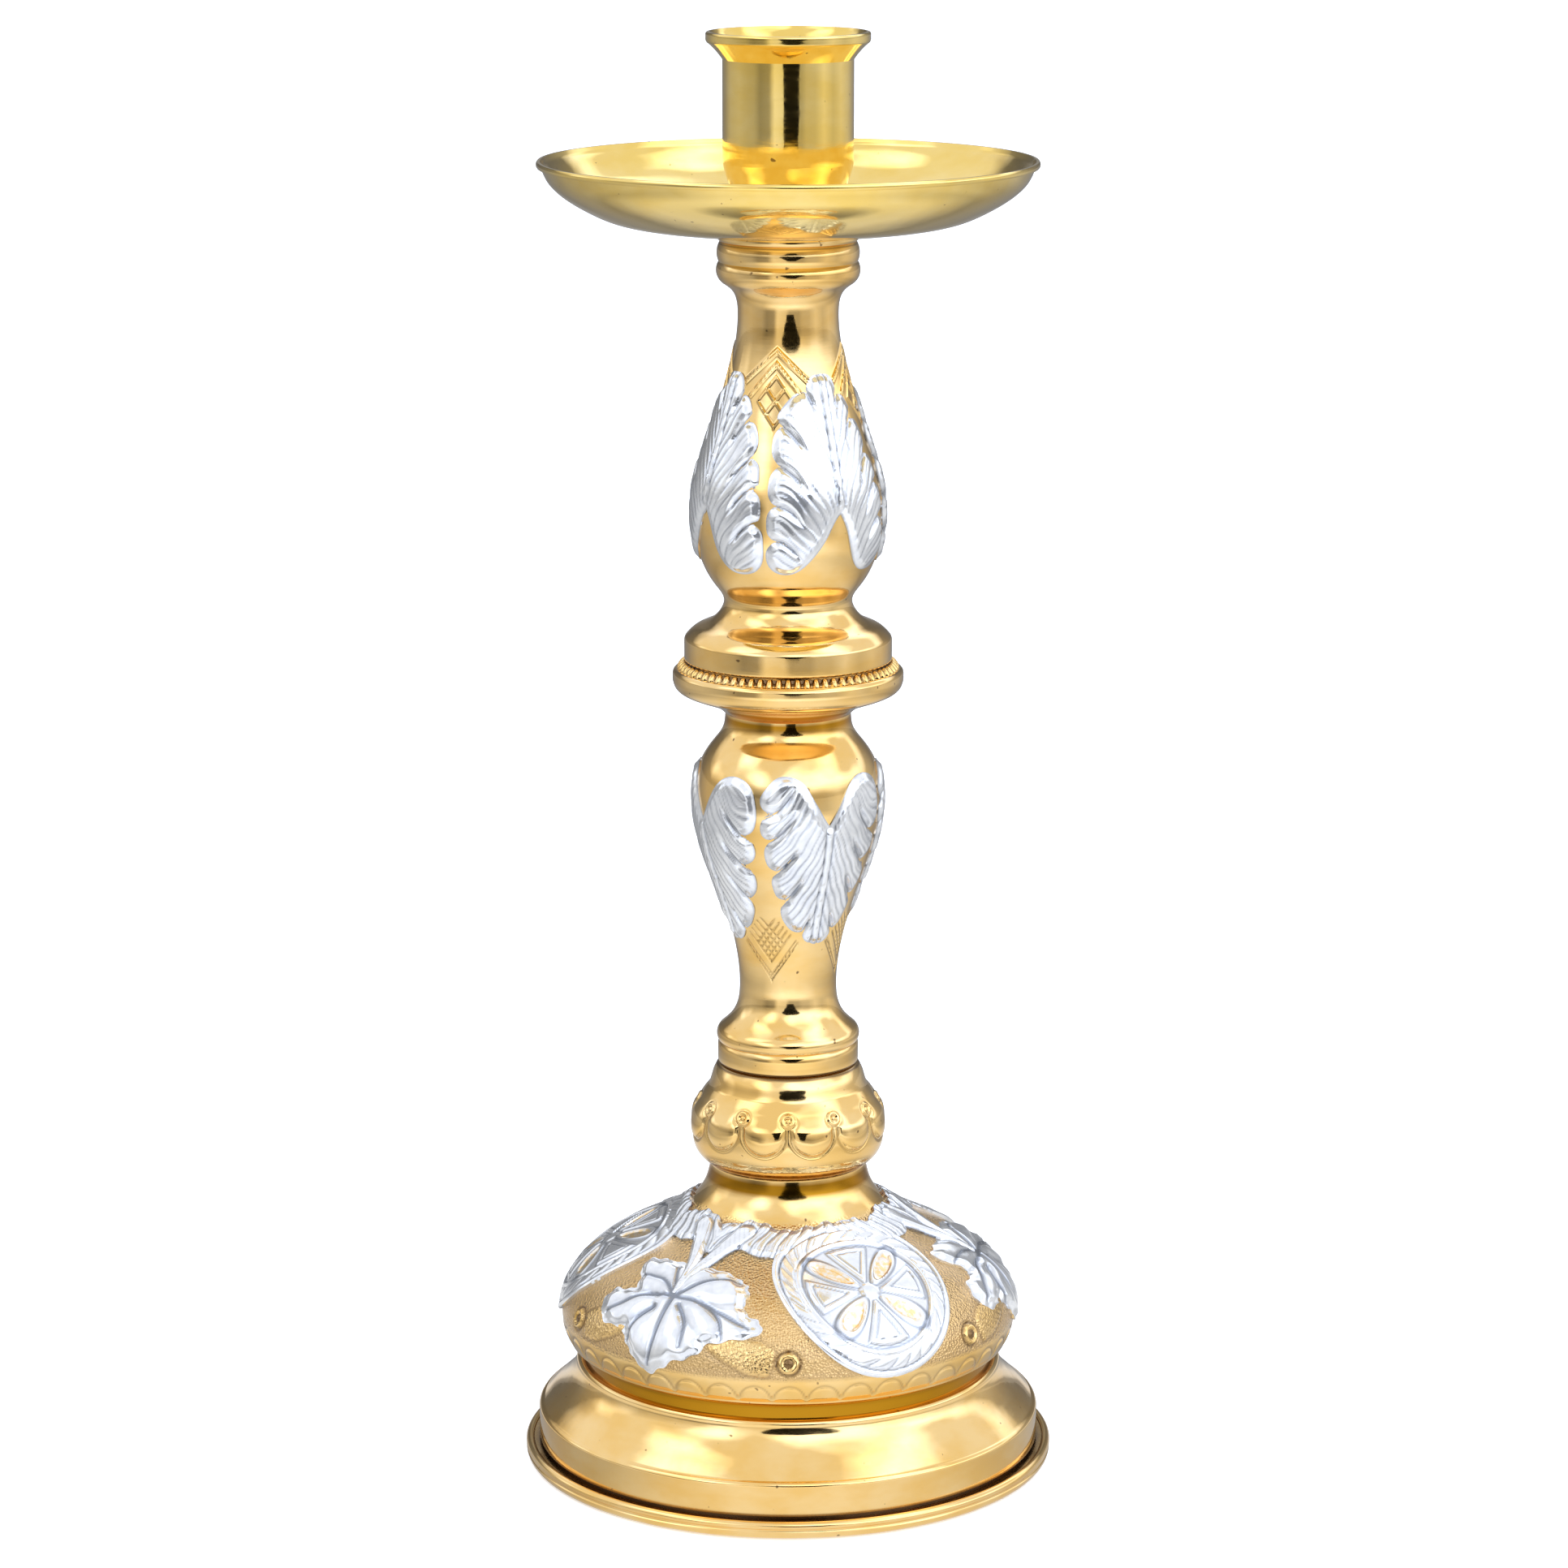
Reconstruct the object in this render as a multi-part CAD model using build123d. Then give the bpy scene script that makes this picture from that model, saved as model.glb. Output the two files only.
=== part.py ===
"""Brass altar candlestick: a spun base, two baluster castings, a drip pan and a screwed-on candle socket,
all threaded on one steel tie rod. Millimetres, +Z up, origin at the centre of the base's resting plane."""
from build123d import *
import os
from math import cos, radians, sqrt

os.makedirs("parts", exist_ok=True)

# ---------------------------------------------------------------- driving dimensions (mm)
HEIGHT = 320.0              # resting plane to the socket's lip
BASE_RADIUS = 59.5          # widest part of the base rim
PAN_RADIUS = 54.4           # rim of the drip pan
CANDLE_BORE = 12.9          # radius of the socket's bore, for a 25.4 mm candle
SHEET = 1.2                 # thickness of the spun parts
CORE = 15.4                 # largest radius of the castings' cored hollows
ROD = 3.0                   # radius of the M6 tie rod
THREAD_GAP = 0.05           # running clearance of plain bores that stand for threads
WASHER_GAP = 0.3            # clearance of plain holes on the rod

# heights of the joints between the pieces
FOOT_BOTTOM = 4.4           # lower edge of the foot's band, over the rim's ledge
DOME_BOTTOM = 23.0          # dome on the foot's flange
KNOP_BOTTOM = 68.0          # knop on the dome's neck
LOWER_BOTTOM = 91.4         # lower baluster on the knop
DISC_BOTTOM = 171.2         # middle disc on the lower baluster
UPPER_BOTTOM = 182.9        # upper baluster on the middle disc
COLLAR_BOTTOM = 275.1       # top collar on the upper baluster
PAN_BOTTOM = 276.9          # drip pan on the top collar
WASHER_BOTTOM = PAN_BOTTOM + SHEET
SOCKET_BOTTOM = WASHER_BOTTOM + 0.8

# fasteners under the base
FLANGE_HOLE = 37.0          # opening in the foot's top flange
PLATE_RADIUS = 42.0
PLATE_THICKNESS = 1.5
FLAT_WASHER = (9.0, 1.6)    # outer radius, thickness
SPRING_WASHER = (5.9, 1.6)
NUT_FLATS = 10.0
NUT_HEIGHT = 5.0
ROD_TAIL = 3.0              # thread showing under the nut


# ---------------------------------------------------------------- helpers
def polyline(*points):
    """Straight edges through the points (radius, height)."""
    return [Line(a, b) for a, b in zip(points, points[1:])]


def turned(edges):
    """Solid of revolution about Z of a closed outline drawn as (radius, height)."""
    return revolve(Plane.XZ * make_face(edges), axis=Axis.Z)


def ring(inner, outer, bottom, top):
    """Plain ring with square edges."""
    corners = (inner, bottom), (outer, bottom), (outer, top), (inner, top)
    return turned(polyline(*corners, corners[0]))


def inset(points, wall):
    """The same curve moved inwards by the wall: along its normal, and level at its two ends."""
    moved = [(points[0][0] - wall, points[0][1])]
    for before, (radius, height), after in zip(points, points[1:], points[2:]):
        run, rise = after[0] - before[0], after[1] - before[1]
        length = sqrt(run * run + rise * rise)
        moved.append((radius - wall * rise / length, height + wall * run / length))
    moved.append((points[-1][0] - wall, points[-1][1]))
    return moved


def save(shape, node):
    export_step(shape, f"parts/{node}.step")


# ---------------------------------------------------------------- base
def base_rim():
    """Rolled rim that the foot is soldered on: a rounded lower edge, a bead, and a spigot inside the band."""
    spigot = 55.2
    inner = 53.9
    ledge = 3.5
    outline = polyline((inner, 0), (BASE_RADIUS - 1.6, 0))
    outline += [
        ThreePointArc((BASE_RADIUS - 1.6, 0), (BASE_RADIUS - 0.45, 0.5), (BASE_RADIUS, 1.7)),
        ThreePointArc((BASE_RADIUS, 1.7), (BASE_RADIUS - 0.25, 2.25), (BASE_RADIUS, 2.6)),
        ThreePointArc((BASE_RADIUS, 2.6), (BASE_RADIUS - 0.6, 3.9), (57.7, ledge)),
    ]
    outline += polyline((57.7, ledge), (spigot, ledge), (spigot, 9.0), (inner, 9.0), (inner, 0))
    return turned(outline)


def base_foot():
    """Spun foot: an upright band, a small bead, a hollow sweep and a flat flange that carries the dome."""
    band = 56.5
    sweep = [(55.6, 12.0), (53.6, 13.95), (51.5, 15.9), (49.8, 17.9), (48.6, 19.9), (47.95, 21.7)]
    flange_under = DOME_BOTTOM - SHEET
    outline = polyline((band, FOOT_BOTTOM), (band, 10.8))
    outline += [ThreePointArc((band, 10.8), (56.3, 11.6), sweep[0]), Spline(*sweep)]
    outline += [ThreePointArc(sweep[-1], (47.75, 22.6), (47.2, DOME_BOTTOM))]
    outline += polyline((47.2, DOME_BOTTOM), (FLANGE_HOLE, DOME_BOTTOM), (FLANGE_HOLE, flange_under))
    inner = inset(sweep, SHEET)[:-1]
    outline += polyline((FLANGE_HOLE, flange_under), (46.2, flange_under), inner[-1])
    outline += [Spline(*inner)]
    inside = band - SHEET
    outline += polyline(inner[0], (inside, 10.6), (inside, FOOT_BOTTOM), (band, FOOT_BOTTOM))
    return turned(outline)


DOME = [(49.6, 27.9), (50.75, 30.6), (51.15, 33.6), (49.2, 40.0), (45.9, 44.0), (40.7, 48.0),
        (32.9, 52.0), (25.8, 56.0), (20.9, 60.0), (18.4, 64.2), (17.5, KNOP_BOTTOM)]


def base_dome():
    """Spun dome with its lower edge turned in under itself, drawn out into the neck under the knop."""
    recess = 46.4
    outline = polyline((recess, DOME_BOTTOM), (recess, 25.2))
    outline += [ThreePointArc((recess, 25.2), (47.2, 26.9), (49.2, 27.4))]
    outline += [ThreePointArc((49.2, 27.4), (49.5, 27.55), DOME[0])]
    outline += [Spline(*DOME)]
    inner = inset(DOME, SHEET)
    inner[0] = (48.1, 28.6)
    outline += polyline(DOME[-1], inner[-1])
    outline += [Spline(*inner)]
    inside = recess - SHEET
    outline += polyline(inner[0], (inside, 26.4), (inside, DOME_BOTTOM), (recess, DOME_BOTTOM))
    return turned(outline)


# ---------------------------------------------------------------- stem
KNOP = [(17.5, KNOP_BOTTOM + 0.4), (19.2, 69.6), (20.9, 71.9), (21.5, 75.6), (20.9, 80.4), (19.3, 84.2),
        (17.7, 86.2)]
SHOULDER = [(17.7, 86.2), (17.3, 87.4), (16.75, 89.3), (15.9, 91.0)]


def knop():
    """Cast knop: a full bulge, a small hollow and a shoulder under the lower baluster."""
    seat = 15.2
    top_core = 13.4
    outline = polyline((CORE, KNOP_BOTTOM), (KNOP[0][0], KNOP_BOTTOM), KNOP[0])
    outline += [Spline(*KNOP), Spline(*SHOULDER)]
    outline += polyline(SHOULDER[-1], (seat, LOWER_BOTTOM), (top_core, LOWER_BOTTOM), (top_core, 86.0),
                        (CORE, 83.5), (CORE, KNOP_BOTTOM))
    return turned(outline)


LOWER_VASE = [(15.3, 99.7), (12.7, 102.2), (11.2, 105.4), (10.8, 109.0), (11.4, 116.5), (13.1, 124.0),
              (15.7, 132.0), (18.5, 140.0), (20.35, 148.0), (20.6, 153.5), (19.6, 159.6), (16.6, 164.6),
              (14.4, 167.8), (13.9, DISC_BOTTOM)]


def lower_baluster():
    """Cast lower baluster: a turned foot with a groove and a bead, a narrow waist and a pear-shaped body."""
    foot = 15.7
    bead_bottom, bead_top = 96.3, LOWER_VASE[0][1]
    outline = [ThreePointArc((14.9, LOWER_BOTTOM), (15.45, 91.65), (foot, 92.2))]
    outline += polyline((foot, 92.2), (foot, 95.8), (15.35, bead_bottom))
    outline += [ThreePointArc((15.35, bead_bottom), (15.95, 98.0), LOWER_VASE[0]), Spline(*LOWER_VASE)]
    core = [(12.1, DISC_BOTTOM), (CORE, 150.0), (8.7, 109.0), (13.4, 97.0)]
    outline += polyline(LOWER_VASE[-1], core[0])
    outline += [Spline(*core)]
    outline += polyline(core[-1], (13.4, LOWER_BOTTOM), (14.9, LOWER_BOTTOM))
    return turned(outline)


DISC_BORE = 11.9
DISC_TOP = 181.2


def middle_disc():
    """Cast disc between the balusters, with a raised seat and a spigot that centres the upper one."""
    rim = 25.5
    flare = [(13.9, DISC_BOTTOM), (15.1, 172.3), (18.2, 173.9), (22.4, 175.4), (24.9, 177.0), (rim, 178.7)]
    seat, spigot = 20.9, CORE - 0.2
    outline = [Spline(*flare), Line(flare[-1], (rim, 180.0))]
    outline += [ThreePointArc((rim, 180.0), (25.2, 180.8), (24.5, DISC_TOP))]
    spigot_top = UPPER_BOTTOM + 1.8
    outline += polyline((24.5, DISC_TOP), (seat, DISC_TOP), (seat, UPPER_BOTTOM), (spigot, UPPER_BOTTOM),
                        (spigot, spigot_top), (DISC_BORE, spigot_top), (DISC_BORE, DISC_BOTTOM), flare[0])
    return turned(outline)


def bead_ring():
    """Milled ring lying in the corner between the middle disc and the upper baluster."""
    inner, outer = 21.0, 24.4
    crest = 182.7
    outline = polyline((inner, DISC_TOP), (outer, DISC_TOP))
    outline += [ThreePointArc((outer, DISC_TOP), (23.7, 182.3), (22.6, crest))]
    outline += polyline((22.6, crest), (inner, crest), (inner, DISC_TOP))
    return turned(outline)


UPPER_VASE = [(22.5, 188.5), (20.8, 190.1), (17.2, 191.8), (15.0, 193.9), (14.1, 196.4), (16.0, 199.8),
              (18.6, 204.2), (20.3, 209.8), (20.8, 215.5), (20.0, 223.5), (18.0, 230.0), (15.5, 238.0),
              (13.1, 246.0), (11.4, 254.0), (11.0, 259.5), (12.1, 264.3), (14.3, 266.1)]


def upper_baluster():
    """Cast upper baluster: a drum, a deep hollow, a tapering vase and two beads under the collar."""
    drum = 22.9
    waist = (15.15, 270.8)
    outline = [ThreePointArc((22.3, UPPER_BOTTOM), (22.75, 183.1), (drum, 183.6))]
    outline += [Line((drum, 183.6), (drum, 187.4))]
    outline += [ThreePointArc((drum, 187.4), (22.8, 188.0), UPPER_VASE[0])]
    outline += [Spline(*UPPER_VASE), ThreePointArc(UPPER_VASE[-1], (15.66, 268.4), waist)]
    outline += [ThreePointArc(waist, (15.55, 272.7), (14.9, COLLAR_BOTTOM))]
    core = [(13.4, 268.0), (8.9, 257.0), (CORE, 215.0), (11.9, 196.5), (CORE, 187.0)]
    outline += polyline((14.9, COLLAR_BOTTOM), (13.4, COLLAR_BOTTOM), core[0])
    outline += [Spline(*core)]
    outline += polyline(core[-1], (CORE, UPPER_BOTTOM), (22.3, UPPER_BOTTOM))
    return turned(outline)


def top_collar():
    """Thin collar screwed on the tie rod; it clamps the stem together and carries the drip pan."""
    edge = 15.3
    spigot = 13.2
    hole = ROD + THREAD_GAP
    spigot_end = COLLAR_BOTTOM - 2.4
    outline = polyline((hole, spigot_end), (spigot, spigot_end), (spigot, COLLAR_BOTTOM),
                       (14.8, COLLAR_BOTTOM))
    outline += [ThreePointArc((14.8, COLLAR_BOTTOM), (edge, 275.8), (15.0, PAN_BOTTOM))]
    outline += polyline((15.0, PAN_BOTTOM), (hole, PAN_BOTTOM), (hole, spigot_end))
    return turned(outline)


def centring_disc(radius, joint, thickness=3.0):
    """Plain disc lying inside two hollow castings across their joint, so that they stay on the rod's axis."""
    return ring(ROD + WASHER_GAP, radius, joint - thickness / 2, joint + thickness / 2)


# ---------------------------------------------------------------- drip pan and socket
PAN_FLAT = 15.8
PAN_BOWL = [(PAN_FLAT, PAN_BOTTOM), (24.0, 277.6), (32.5, 278.6), (39.3, 280.0), (43.8, 282.0),
            (47.3, 284.0), (50.0, 286.0), (52.0, 288.2), (53.3, 291.0)]


def drip_pan():
    """Shallow spun pan with a flat seat, a bowl and a short upright lip."""
    lip_top = 292.5
    hole = ROD + WASHER_GAP
    outline = polyline((hole, PAN_BOTTOM), PAN_BOWL[0])
    outline += [Spline(*PAN_BOWL, tangents=[(1, 0), (0.35, 1)])]
    outline += polyline(PAN_BOWL[-1], (PAN_RADIUS - 0.2, 291.2))
    outline += [ThreePointArc((PAN_RADIUS - 0.2, 291.2), (PAN_RADIUS, 291.9), (PAN_RADIUS - 0.3, lip_top))]
    inside = inset(PAN_BOWL, SHEET)[1:-1]
    inside = [(PAN_FLAT, PAN_BOTTOM + SHEET)] + inside + [(53.0, 291.4)]
    outline += polyline((PAN_RADIUS - 0.3, lip_top), (53.5, lip_top), inside[-1])
    outline += [Spline(*inside)]
    outline += polyline(inside[0], (hole, PAN_BOTTOM + SHEET), (hole, PAN_BOTTOM))
    return turned(outline)


def socket_washer():
    """Fibre washer between the drip pan and the socket's foot."""
    return ring(ROD + WASHER_GAP, 8.6, WASHER_BOTTOM, SOCKET_BOTTOM)


def candle_socket():
    """Candle cup: a foot threaded on the rod, a rounded bottom, a straight tube and a flared lip."""
    tube = CANDLE_BORE + 1.3
    hole = ROD + THREAD_GAP
    foot = 9.0
    floor = 288.0
    lip = 17.8
    bowl = [(8.2, 280.6), (10.4, 283.6), (12.9, 287.6), (tube, 292.2)]
    outline = polyline((hole, SOCKET_BOTTOM), (foot, SOCKET_BOTTOM), (foot, 279.9), bowl[0])
    outline += [Spline(*bowl)]
    outline += polyline(bowl[-1], (tube, 314.1), (lip - 0.3, 317.7))
    outline += [ThreePointArc((lip - 0.3, 317.7), (lip - 0.05, 318.1), (lip, 318.6))]
    outline += [Line((lip, 318.6), (lip, 319.5))]
    outline += [ThreePointArc((lip, 319.5), (lip - 0.15, 319.85), (lip - 0.5, HEIGHT))]
    outline += polyline((lip - 0.5, HEIGHT), (lip - 0.9, HEIGHT), (lip - 1.3, 319.1), (CANDLE_BORE, 314.6))
    outline += polyline((CANDLE_BORE, 314.6), (CANDLE_BORE, 292.0), (9.0, floor), (hole, floor),
                        (hole, SOCKET_BOTTOM))
    return turned(outline)


# --------------------------------------------------------------- rod and fasteners, from the flange downwards
PLATE_BOTTOM = DOME_BOTTOM - SHEET - PLATE_THICKNESS
WASHER_UNDER = PLATE_BOTTOM - FLAT_WASHER[1]
SPRING_UNDER = WASHER_UNDER - SPRING_WASHER[1]
NUT_UNDER = SPRING_UNDER - NUT_HEIGHT
ROD_TOP = 286.0


def tie_rod():
    """M6 rod through the whole stem, with bevelled ends; its thread is modelled plain."""
    bottom = NUT_UNDER - ROD_TAIL
    bevel = 0.6
    return turned(polyline((0, bottom), (ROD - bevel, bottom), (ROD, bottom + bevel),
                           (ROD, ROD_TOP - bevel), (ROD - bevel, ROD_TOP), (0, ROD_TOP), (0, bottom)))


def clamp_plate():
    """Steel plate pulled up against the foot's flange, its rim turned down for stiffness."""
    hole = ROD + WASHER_GAP
    inside = PLATE_RADIUS - PLATE_THICKNESS
    top = PLATE_BOTTOM + PLATE_THICKNESS
    skirt = top - 3.0
    return turned(polyline((hole, PLATE_BOTTOM), (inside, PLATE_BOTTOM), (inside, skirt),
                           (PLATE_RADIUS, skirt), (PLATE_RADIUS, top - 0.8), (PLATE_RADIUS - 0.8, top),
                           (hole, top), (hole, PLATE_BOTTOM)))


def spring_washer():
    """Split ring; the slot is cut at a slant like a real spring washer's."""
    outer, thickness = SPRING_WASHER
    slot = Pos(outer - 1.4, 0, SPRING_UNDER + thickness / 2) * Rot(25, 0, 0) * Box(4, 0.8, 4)
    return ring(ROD + 0.15, outer, SPRING_UNDER, WASHER_UNDER) - slot


def hex_nut():
    """M6 nut with its corners bevelled above and below."""
    corner = NUT_FLATS / 2 / cos(radians(30))
    body = Pos(0, 0, NUT_UNDER) * extrude(RegularPolygon(corner, 6), NUT_HEIGHT)
    bevel = 0.5
    face = corner - bevel * 1.7
    top = NUT_UNDER + NUT_HEIGHT
    envelope = turned(polyline((0, NUT_UNDER), (face, NUT_UNDER), (corner, NUT_UNDER + bevel),
                               (corner, top - bevel), (face, top), (0, top), (0, NUT_UNDER)))
    bore = Pos(0, 0, NUT_UNDER + NUT_HEIGHT / 2) * Cylinder(ROD + THREAD_GAP, NUT_HEIGHT + 2)
    return (body & envelope) - bore


# ---------------------------------------------------------------- all the pieces
PIECES = {
    "base_rim": base_rim(),
    "base_foot": base_foot(),
    "base_dome": base_dome(),
    "knop": knop(),
    "lower_baluster": lower_baluster(),
    "middle_disc": middle_disc(),
    "bead_ring": bead_ring(),
    "upper_baluster": upper_baluster(),
    "top_collar": top_collar(),
    "drip_pan": drip_pan(),
    "socket_washer": socket_washer(),
    "candle_socket": candle_socket(),
    "tie_rod": tie_rod(),
    "clamp_plate": clamp_plate(),
    "flat_washer": ring(ROD + WASHER_GAP, FLAT_WASHER[0], WASHER_UNDER, PLATE_BOTTOM),
    "spring_washer": spring_washer(),
    "hex_nut": hex_nut(),
    "neck_disc": centring_disc(15.2, KNOP_BOTTOM),
    "knop_disc": centring_disc(13.2, LOWER_BOTTOM),
    "baluster_disc": centring_disc(11.6, DISC_BOTTOM),
}

for node, solid in PIECES.items():
    save(solid, node)
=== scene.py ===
"""Altar candlestick: turned brass shells with chased silver-plated relief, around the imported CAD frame."""
from math import cos, pi, radians, sin

import bpy
import numpy as np
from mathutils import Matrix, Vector


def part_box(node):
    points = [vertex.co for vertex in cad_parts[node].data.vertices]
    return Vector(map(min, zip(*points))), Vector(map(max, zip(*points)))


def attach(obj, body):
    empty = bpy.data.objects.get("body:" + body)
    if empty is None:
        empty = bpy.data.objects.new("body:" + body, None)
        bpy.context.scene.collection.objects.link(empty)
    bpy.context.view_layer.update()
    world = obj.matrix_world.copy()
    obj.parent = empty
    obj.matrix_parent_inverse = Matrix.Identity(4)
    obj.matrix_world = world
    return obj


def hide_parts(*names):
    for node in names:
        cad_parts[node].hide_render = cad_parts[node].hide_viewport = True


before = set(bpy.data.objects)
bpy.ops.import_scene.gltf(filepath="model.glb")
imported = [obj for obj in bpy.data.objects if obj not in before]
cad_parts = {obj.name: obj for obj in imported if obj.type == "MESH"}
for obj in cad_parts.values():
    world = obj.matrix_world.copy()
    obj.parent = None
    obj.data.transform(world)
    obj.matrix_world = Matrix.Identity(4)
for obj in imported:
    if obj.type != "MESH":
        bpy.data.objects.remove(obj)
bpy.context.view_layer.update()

MM = 0.001
FINE = 0.35  # spacing of the relief's grid, mm
SUNK = 0.3  # depth of the relief's underside below the surface it lies on, mm


# ---------------- curves, in mm as (radius, height)
def spline(points, start=None, end=None, step=0.1):
    """Smooth cubic curve through the points; start and end are directions, free where left out."""
    p = np.array(points, float)
    gaps = np.hypot(*np.diff(p, axis=0).T)
    knots = np.concatenate([[0], np.cumsum(gaps)])
    n = len(p)
    rows, sums = np.zeros((n, n)), np.zeros((n, 2))
    rows[0, 0] = rows[-1, -1] = 1
    for i in range(1, n - 1):
        rows[i, i - 1:i + 2] = gaps[i - 1], 2 * (gaps[i - 1] + gaps[i]), gaps[i]
        sums[i] = 6 * ((p[i + 1] - p[i]) / gaps[i] - (p[i] - p[i - 1]) / gaps[i - 1])
    if start is not None:
        way = np.array(start, float) / np.hypot(*start)
        rows[0, :2] = 2 * gaps[0], gaps[0]
        sums[0] = 6 * ((p[1] - p[0]) / gaps[0] - way)
    if end is not None:
        way = np.array(end, float) / np.hypot(*end)
        rows[-1, -2:] = gaps[-1], 2 * gaps[-1]
        sums[-1] = 6 * (way - (p[-1] - p[-2]) / gaps[-1])
    bend = np.linalg.solve(rows, sums)
    t = np.linspace(0, knots[-1], max(8, int(knots[-1] / step)))
    k = np.clip(np.searchsorted(knots, t) - 1, 0, n - 2)
    gap = gaps[k][:, None]
    a, b = (knots[k + 1] - t)[:, None] / gap, (t - knots[k])[:, None] / gap
    return a * p[k] + b * p[k + 1] + ((a**3 - a) * bend[k] + (b**3 - b) * bend[k + 1]) * gap**2 / 6


def arc(a, middle, b):
    """Circular arc from a through middle to b."""
    (ax, ay), (mx, my), (bx, by) = a, middle, b
    d = 2 * (ax * (my - by) + mx * (by - ay) + bx * (ay - my))
    aa, mm, bb = ax * ax + ay * ay, mx * mx + my * my, bx * bx + by * by
    cx = (aa * (my - by) + mm * (by - ay) + bb * (ay - my)) / d
    cy = (aa * (bx - mx) + mm * (ax - bx) + bb * (mx - ax)) / d
    radius = np.hypot(ax - cx, ay - cy)
    first, _, last = np.unwrap([np.arctan2(y - cy, x - cx) for x, y in (a, middle, b)])
    t = np.linspace(first, last, 40)
    return np.stack([cx + radius * np.cos(t), cy + radius * np.sin(t)], 1)


def outwards(curve):
    """Unit direction to the right of the curve at each of its points, which is out of the metal."""
    way = np.gradient(curve, axis=0)
    way /= np.hypot(*way.T)[:, None]
    return np.stack([way[:, 1], -way[:, 0]], 1)


def inset(curve, wall):
    """The curve moved into the metal by the wall."""
    return curve - wall * outwards(curve)


def lengths(curve):
    return np.concatenate([[0], np.cumsum(np.hypot(*np.diff(curve, axis=0).T))])


def divided(curve, step):
    """The curve with its points a step apart. step may be a list of (up to this length, step)."""
    along = lengths(curve)
    stops, spacing = [0], step if isinstance(step, list) else [(along[-1], step)]
    for upto, gap in spacing:
        upto = min(upto, along[-1])
        if upto > stops[-1]:
            count = max(1, int(round((upto - stops[-1]) / gap)))
            stops += list(np.linspace(stops[-1], upto, count + 1)[1:])
    if along[-1] - stops[-1] > 1e-6:
        stops.append(along[-1])
    return np.stack([np.interp(stops, along, curve[:, i]) for i in (0, 1)], 1)


class Surface:
    """The outside of a turned shell: s is the length along its outline, and azimuths count from the front."""

    def __init__(self, outline):
        self.curve = outline
        self.s = lengths(outline)
        self.out = outwards(outline)

    def radius(self, s):
        return np.interp(s, self.s, self.curve[:, 0])

    def place(self, azimuth, s, height):
        """Points in mm at an azimuth in degrees, a length s and a height above the surface."""
        turn = np.radians(azimuth)
        r = self.radius(s) + height * np.interp(s, self.s, self.out[:, 0])
        z = np.interp(s, self.s, self.curve[:, 1]) + height * np.interp(s, self.s, self.out[:, 1])
        return np.stack([r * np.sin(turn), -r * np.cos(turn), z], -1)

    def flat(self, azimuth, s):
        """Millimetres on the surface: across from azimuth 0, and along the outline."""
        return np.radians(azimuth) * self.radius(s), s

    def laid(self, points):
        """Points of (azimuth, s) as rows of such millimetres."""
        return np.stack(self.flat(*np.array(points, float).T), 1)


# ---------------- flat shapes: distances in mm, negative inside
def smooth(x, low=0, high=1):
    t = np.clip((x - low) / (high - low), 0, 1)
    return t * t * (3 - 2 * t)


def bump(x, half):
    """Half-round ridge of that half width."""
    return np.sqrt(np.clip(1 - (x / half) ** 2, 0, 1))


def groove(x, half):
    """Soft line: 1 at x = 0, 0 from half on."""
    return 1 - smooth(np.abs(x), 0, half)


def nearest(u, v, a, b):
    """Where on the line from a to b the nearest point lies, from 0 to 1, and how far off it is both ways."""
    ex, ey, wx, wy = b[0] - a[0], b[1] - a[1], u - a[0], v - a[1]
    t = np.clip((wx * ex + wy * ey) / max(ex * ex + ey * ey, 1e-12), 0, 1)
    return t, wx - ex * t, wy - ey * t


def polygon(corners):
    """Signed distance to a closed outline."""
    p = np.array(corners, float)

    def distance(u, v):
        best = np.full(np.shape(u), 1e9)
        inside = np.zeros(np.shape(u), bool)
        for a, b in zip(p, np.roll(p, -1, 0)):
            _, du, dv = nearest(u, v, a, b)
            best = np.minimum(best, du**2 + dv**2)
            if b[1] != a[1]:
                crossing = (b[0] - a[0]) * (v - a[1]) / (b[1] - a[1]) + a[0]
                inside ^= ((a[1] > v) != (b[1] > v)) & (u < crossing)
        return np.where(inside, -1, 1) * np.sqrt(best)

    return distance


def stroke(points, start=0, end=0):
    """Distance to a line through the points, less its half width, which goes from start to end."""
    p = np.array(points, float)
    along = lengths(p)

    def distance(u, v):
        best = np.full(np.shape(u), 1e9)
        for a, b, s0, s1 in zip(p, p[1:], along, along[1:]):
            t, du, dv = nearest(u, v, a, b)
            half = start + (end - start) * (s0 + (s1 - s0) * t) / along[-1]
            best = np.minimum(best, np.hypot(du, dv) - half)
        return best

    return distance


# ---------------- meshes
def placed(name, data):
    """A new object with that data, in the scene."""
    made = bpy.data.objects.new(name, data)
    bpy.context.scene.collection.objects.link(made)
    return made


def mesh_object(name, points, faces, finish, sharp, **marks):
    """An object from points in mm. marks are named numbers, one a point, for the material to read."""
    mesh = bpy.data.meshes.new(name)
    mesh.from_pydata((np.asarray(points) * MM).tolist(), [], faces)
    for mark, values in marks.items():
        layer = mesh.attributes.new(mark, "FLOAT", "POINT")
        layer.data.foreach_set("value", np.asarray(values, np.float32).ravel())
    mesh.materials.append(finish)
    mesh.shade_smooth()
    mesh.set_sharp_from_angle(angle=radians(sharp))
    mesh.update()
    return placed(name, mesh)


def traced(start, way):
    """The curve that a way means, and its end. A way is a curve, a point to go straight to, or the middle and
    end of an arc."""
    if isinstance(way, np.ndarray):
        return way, way[-1]
    if np.ndim(way) == 1:
        return np.array([start, way], float), way
    return arc(start, *way), way[1]


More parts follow.
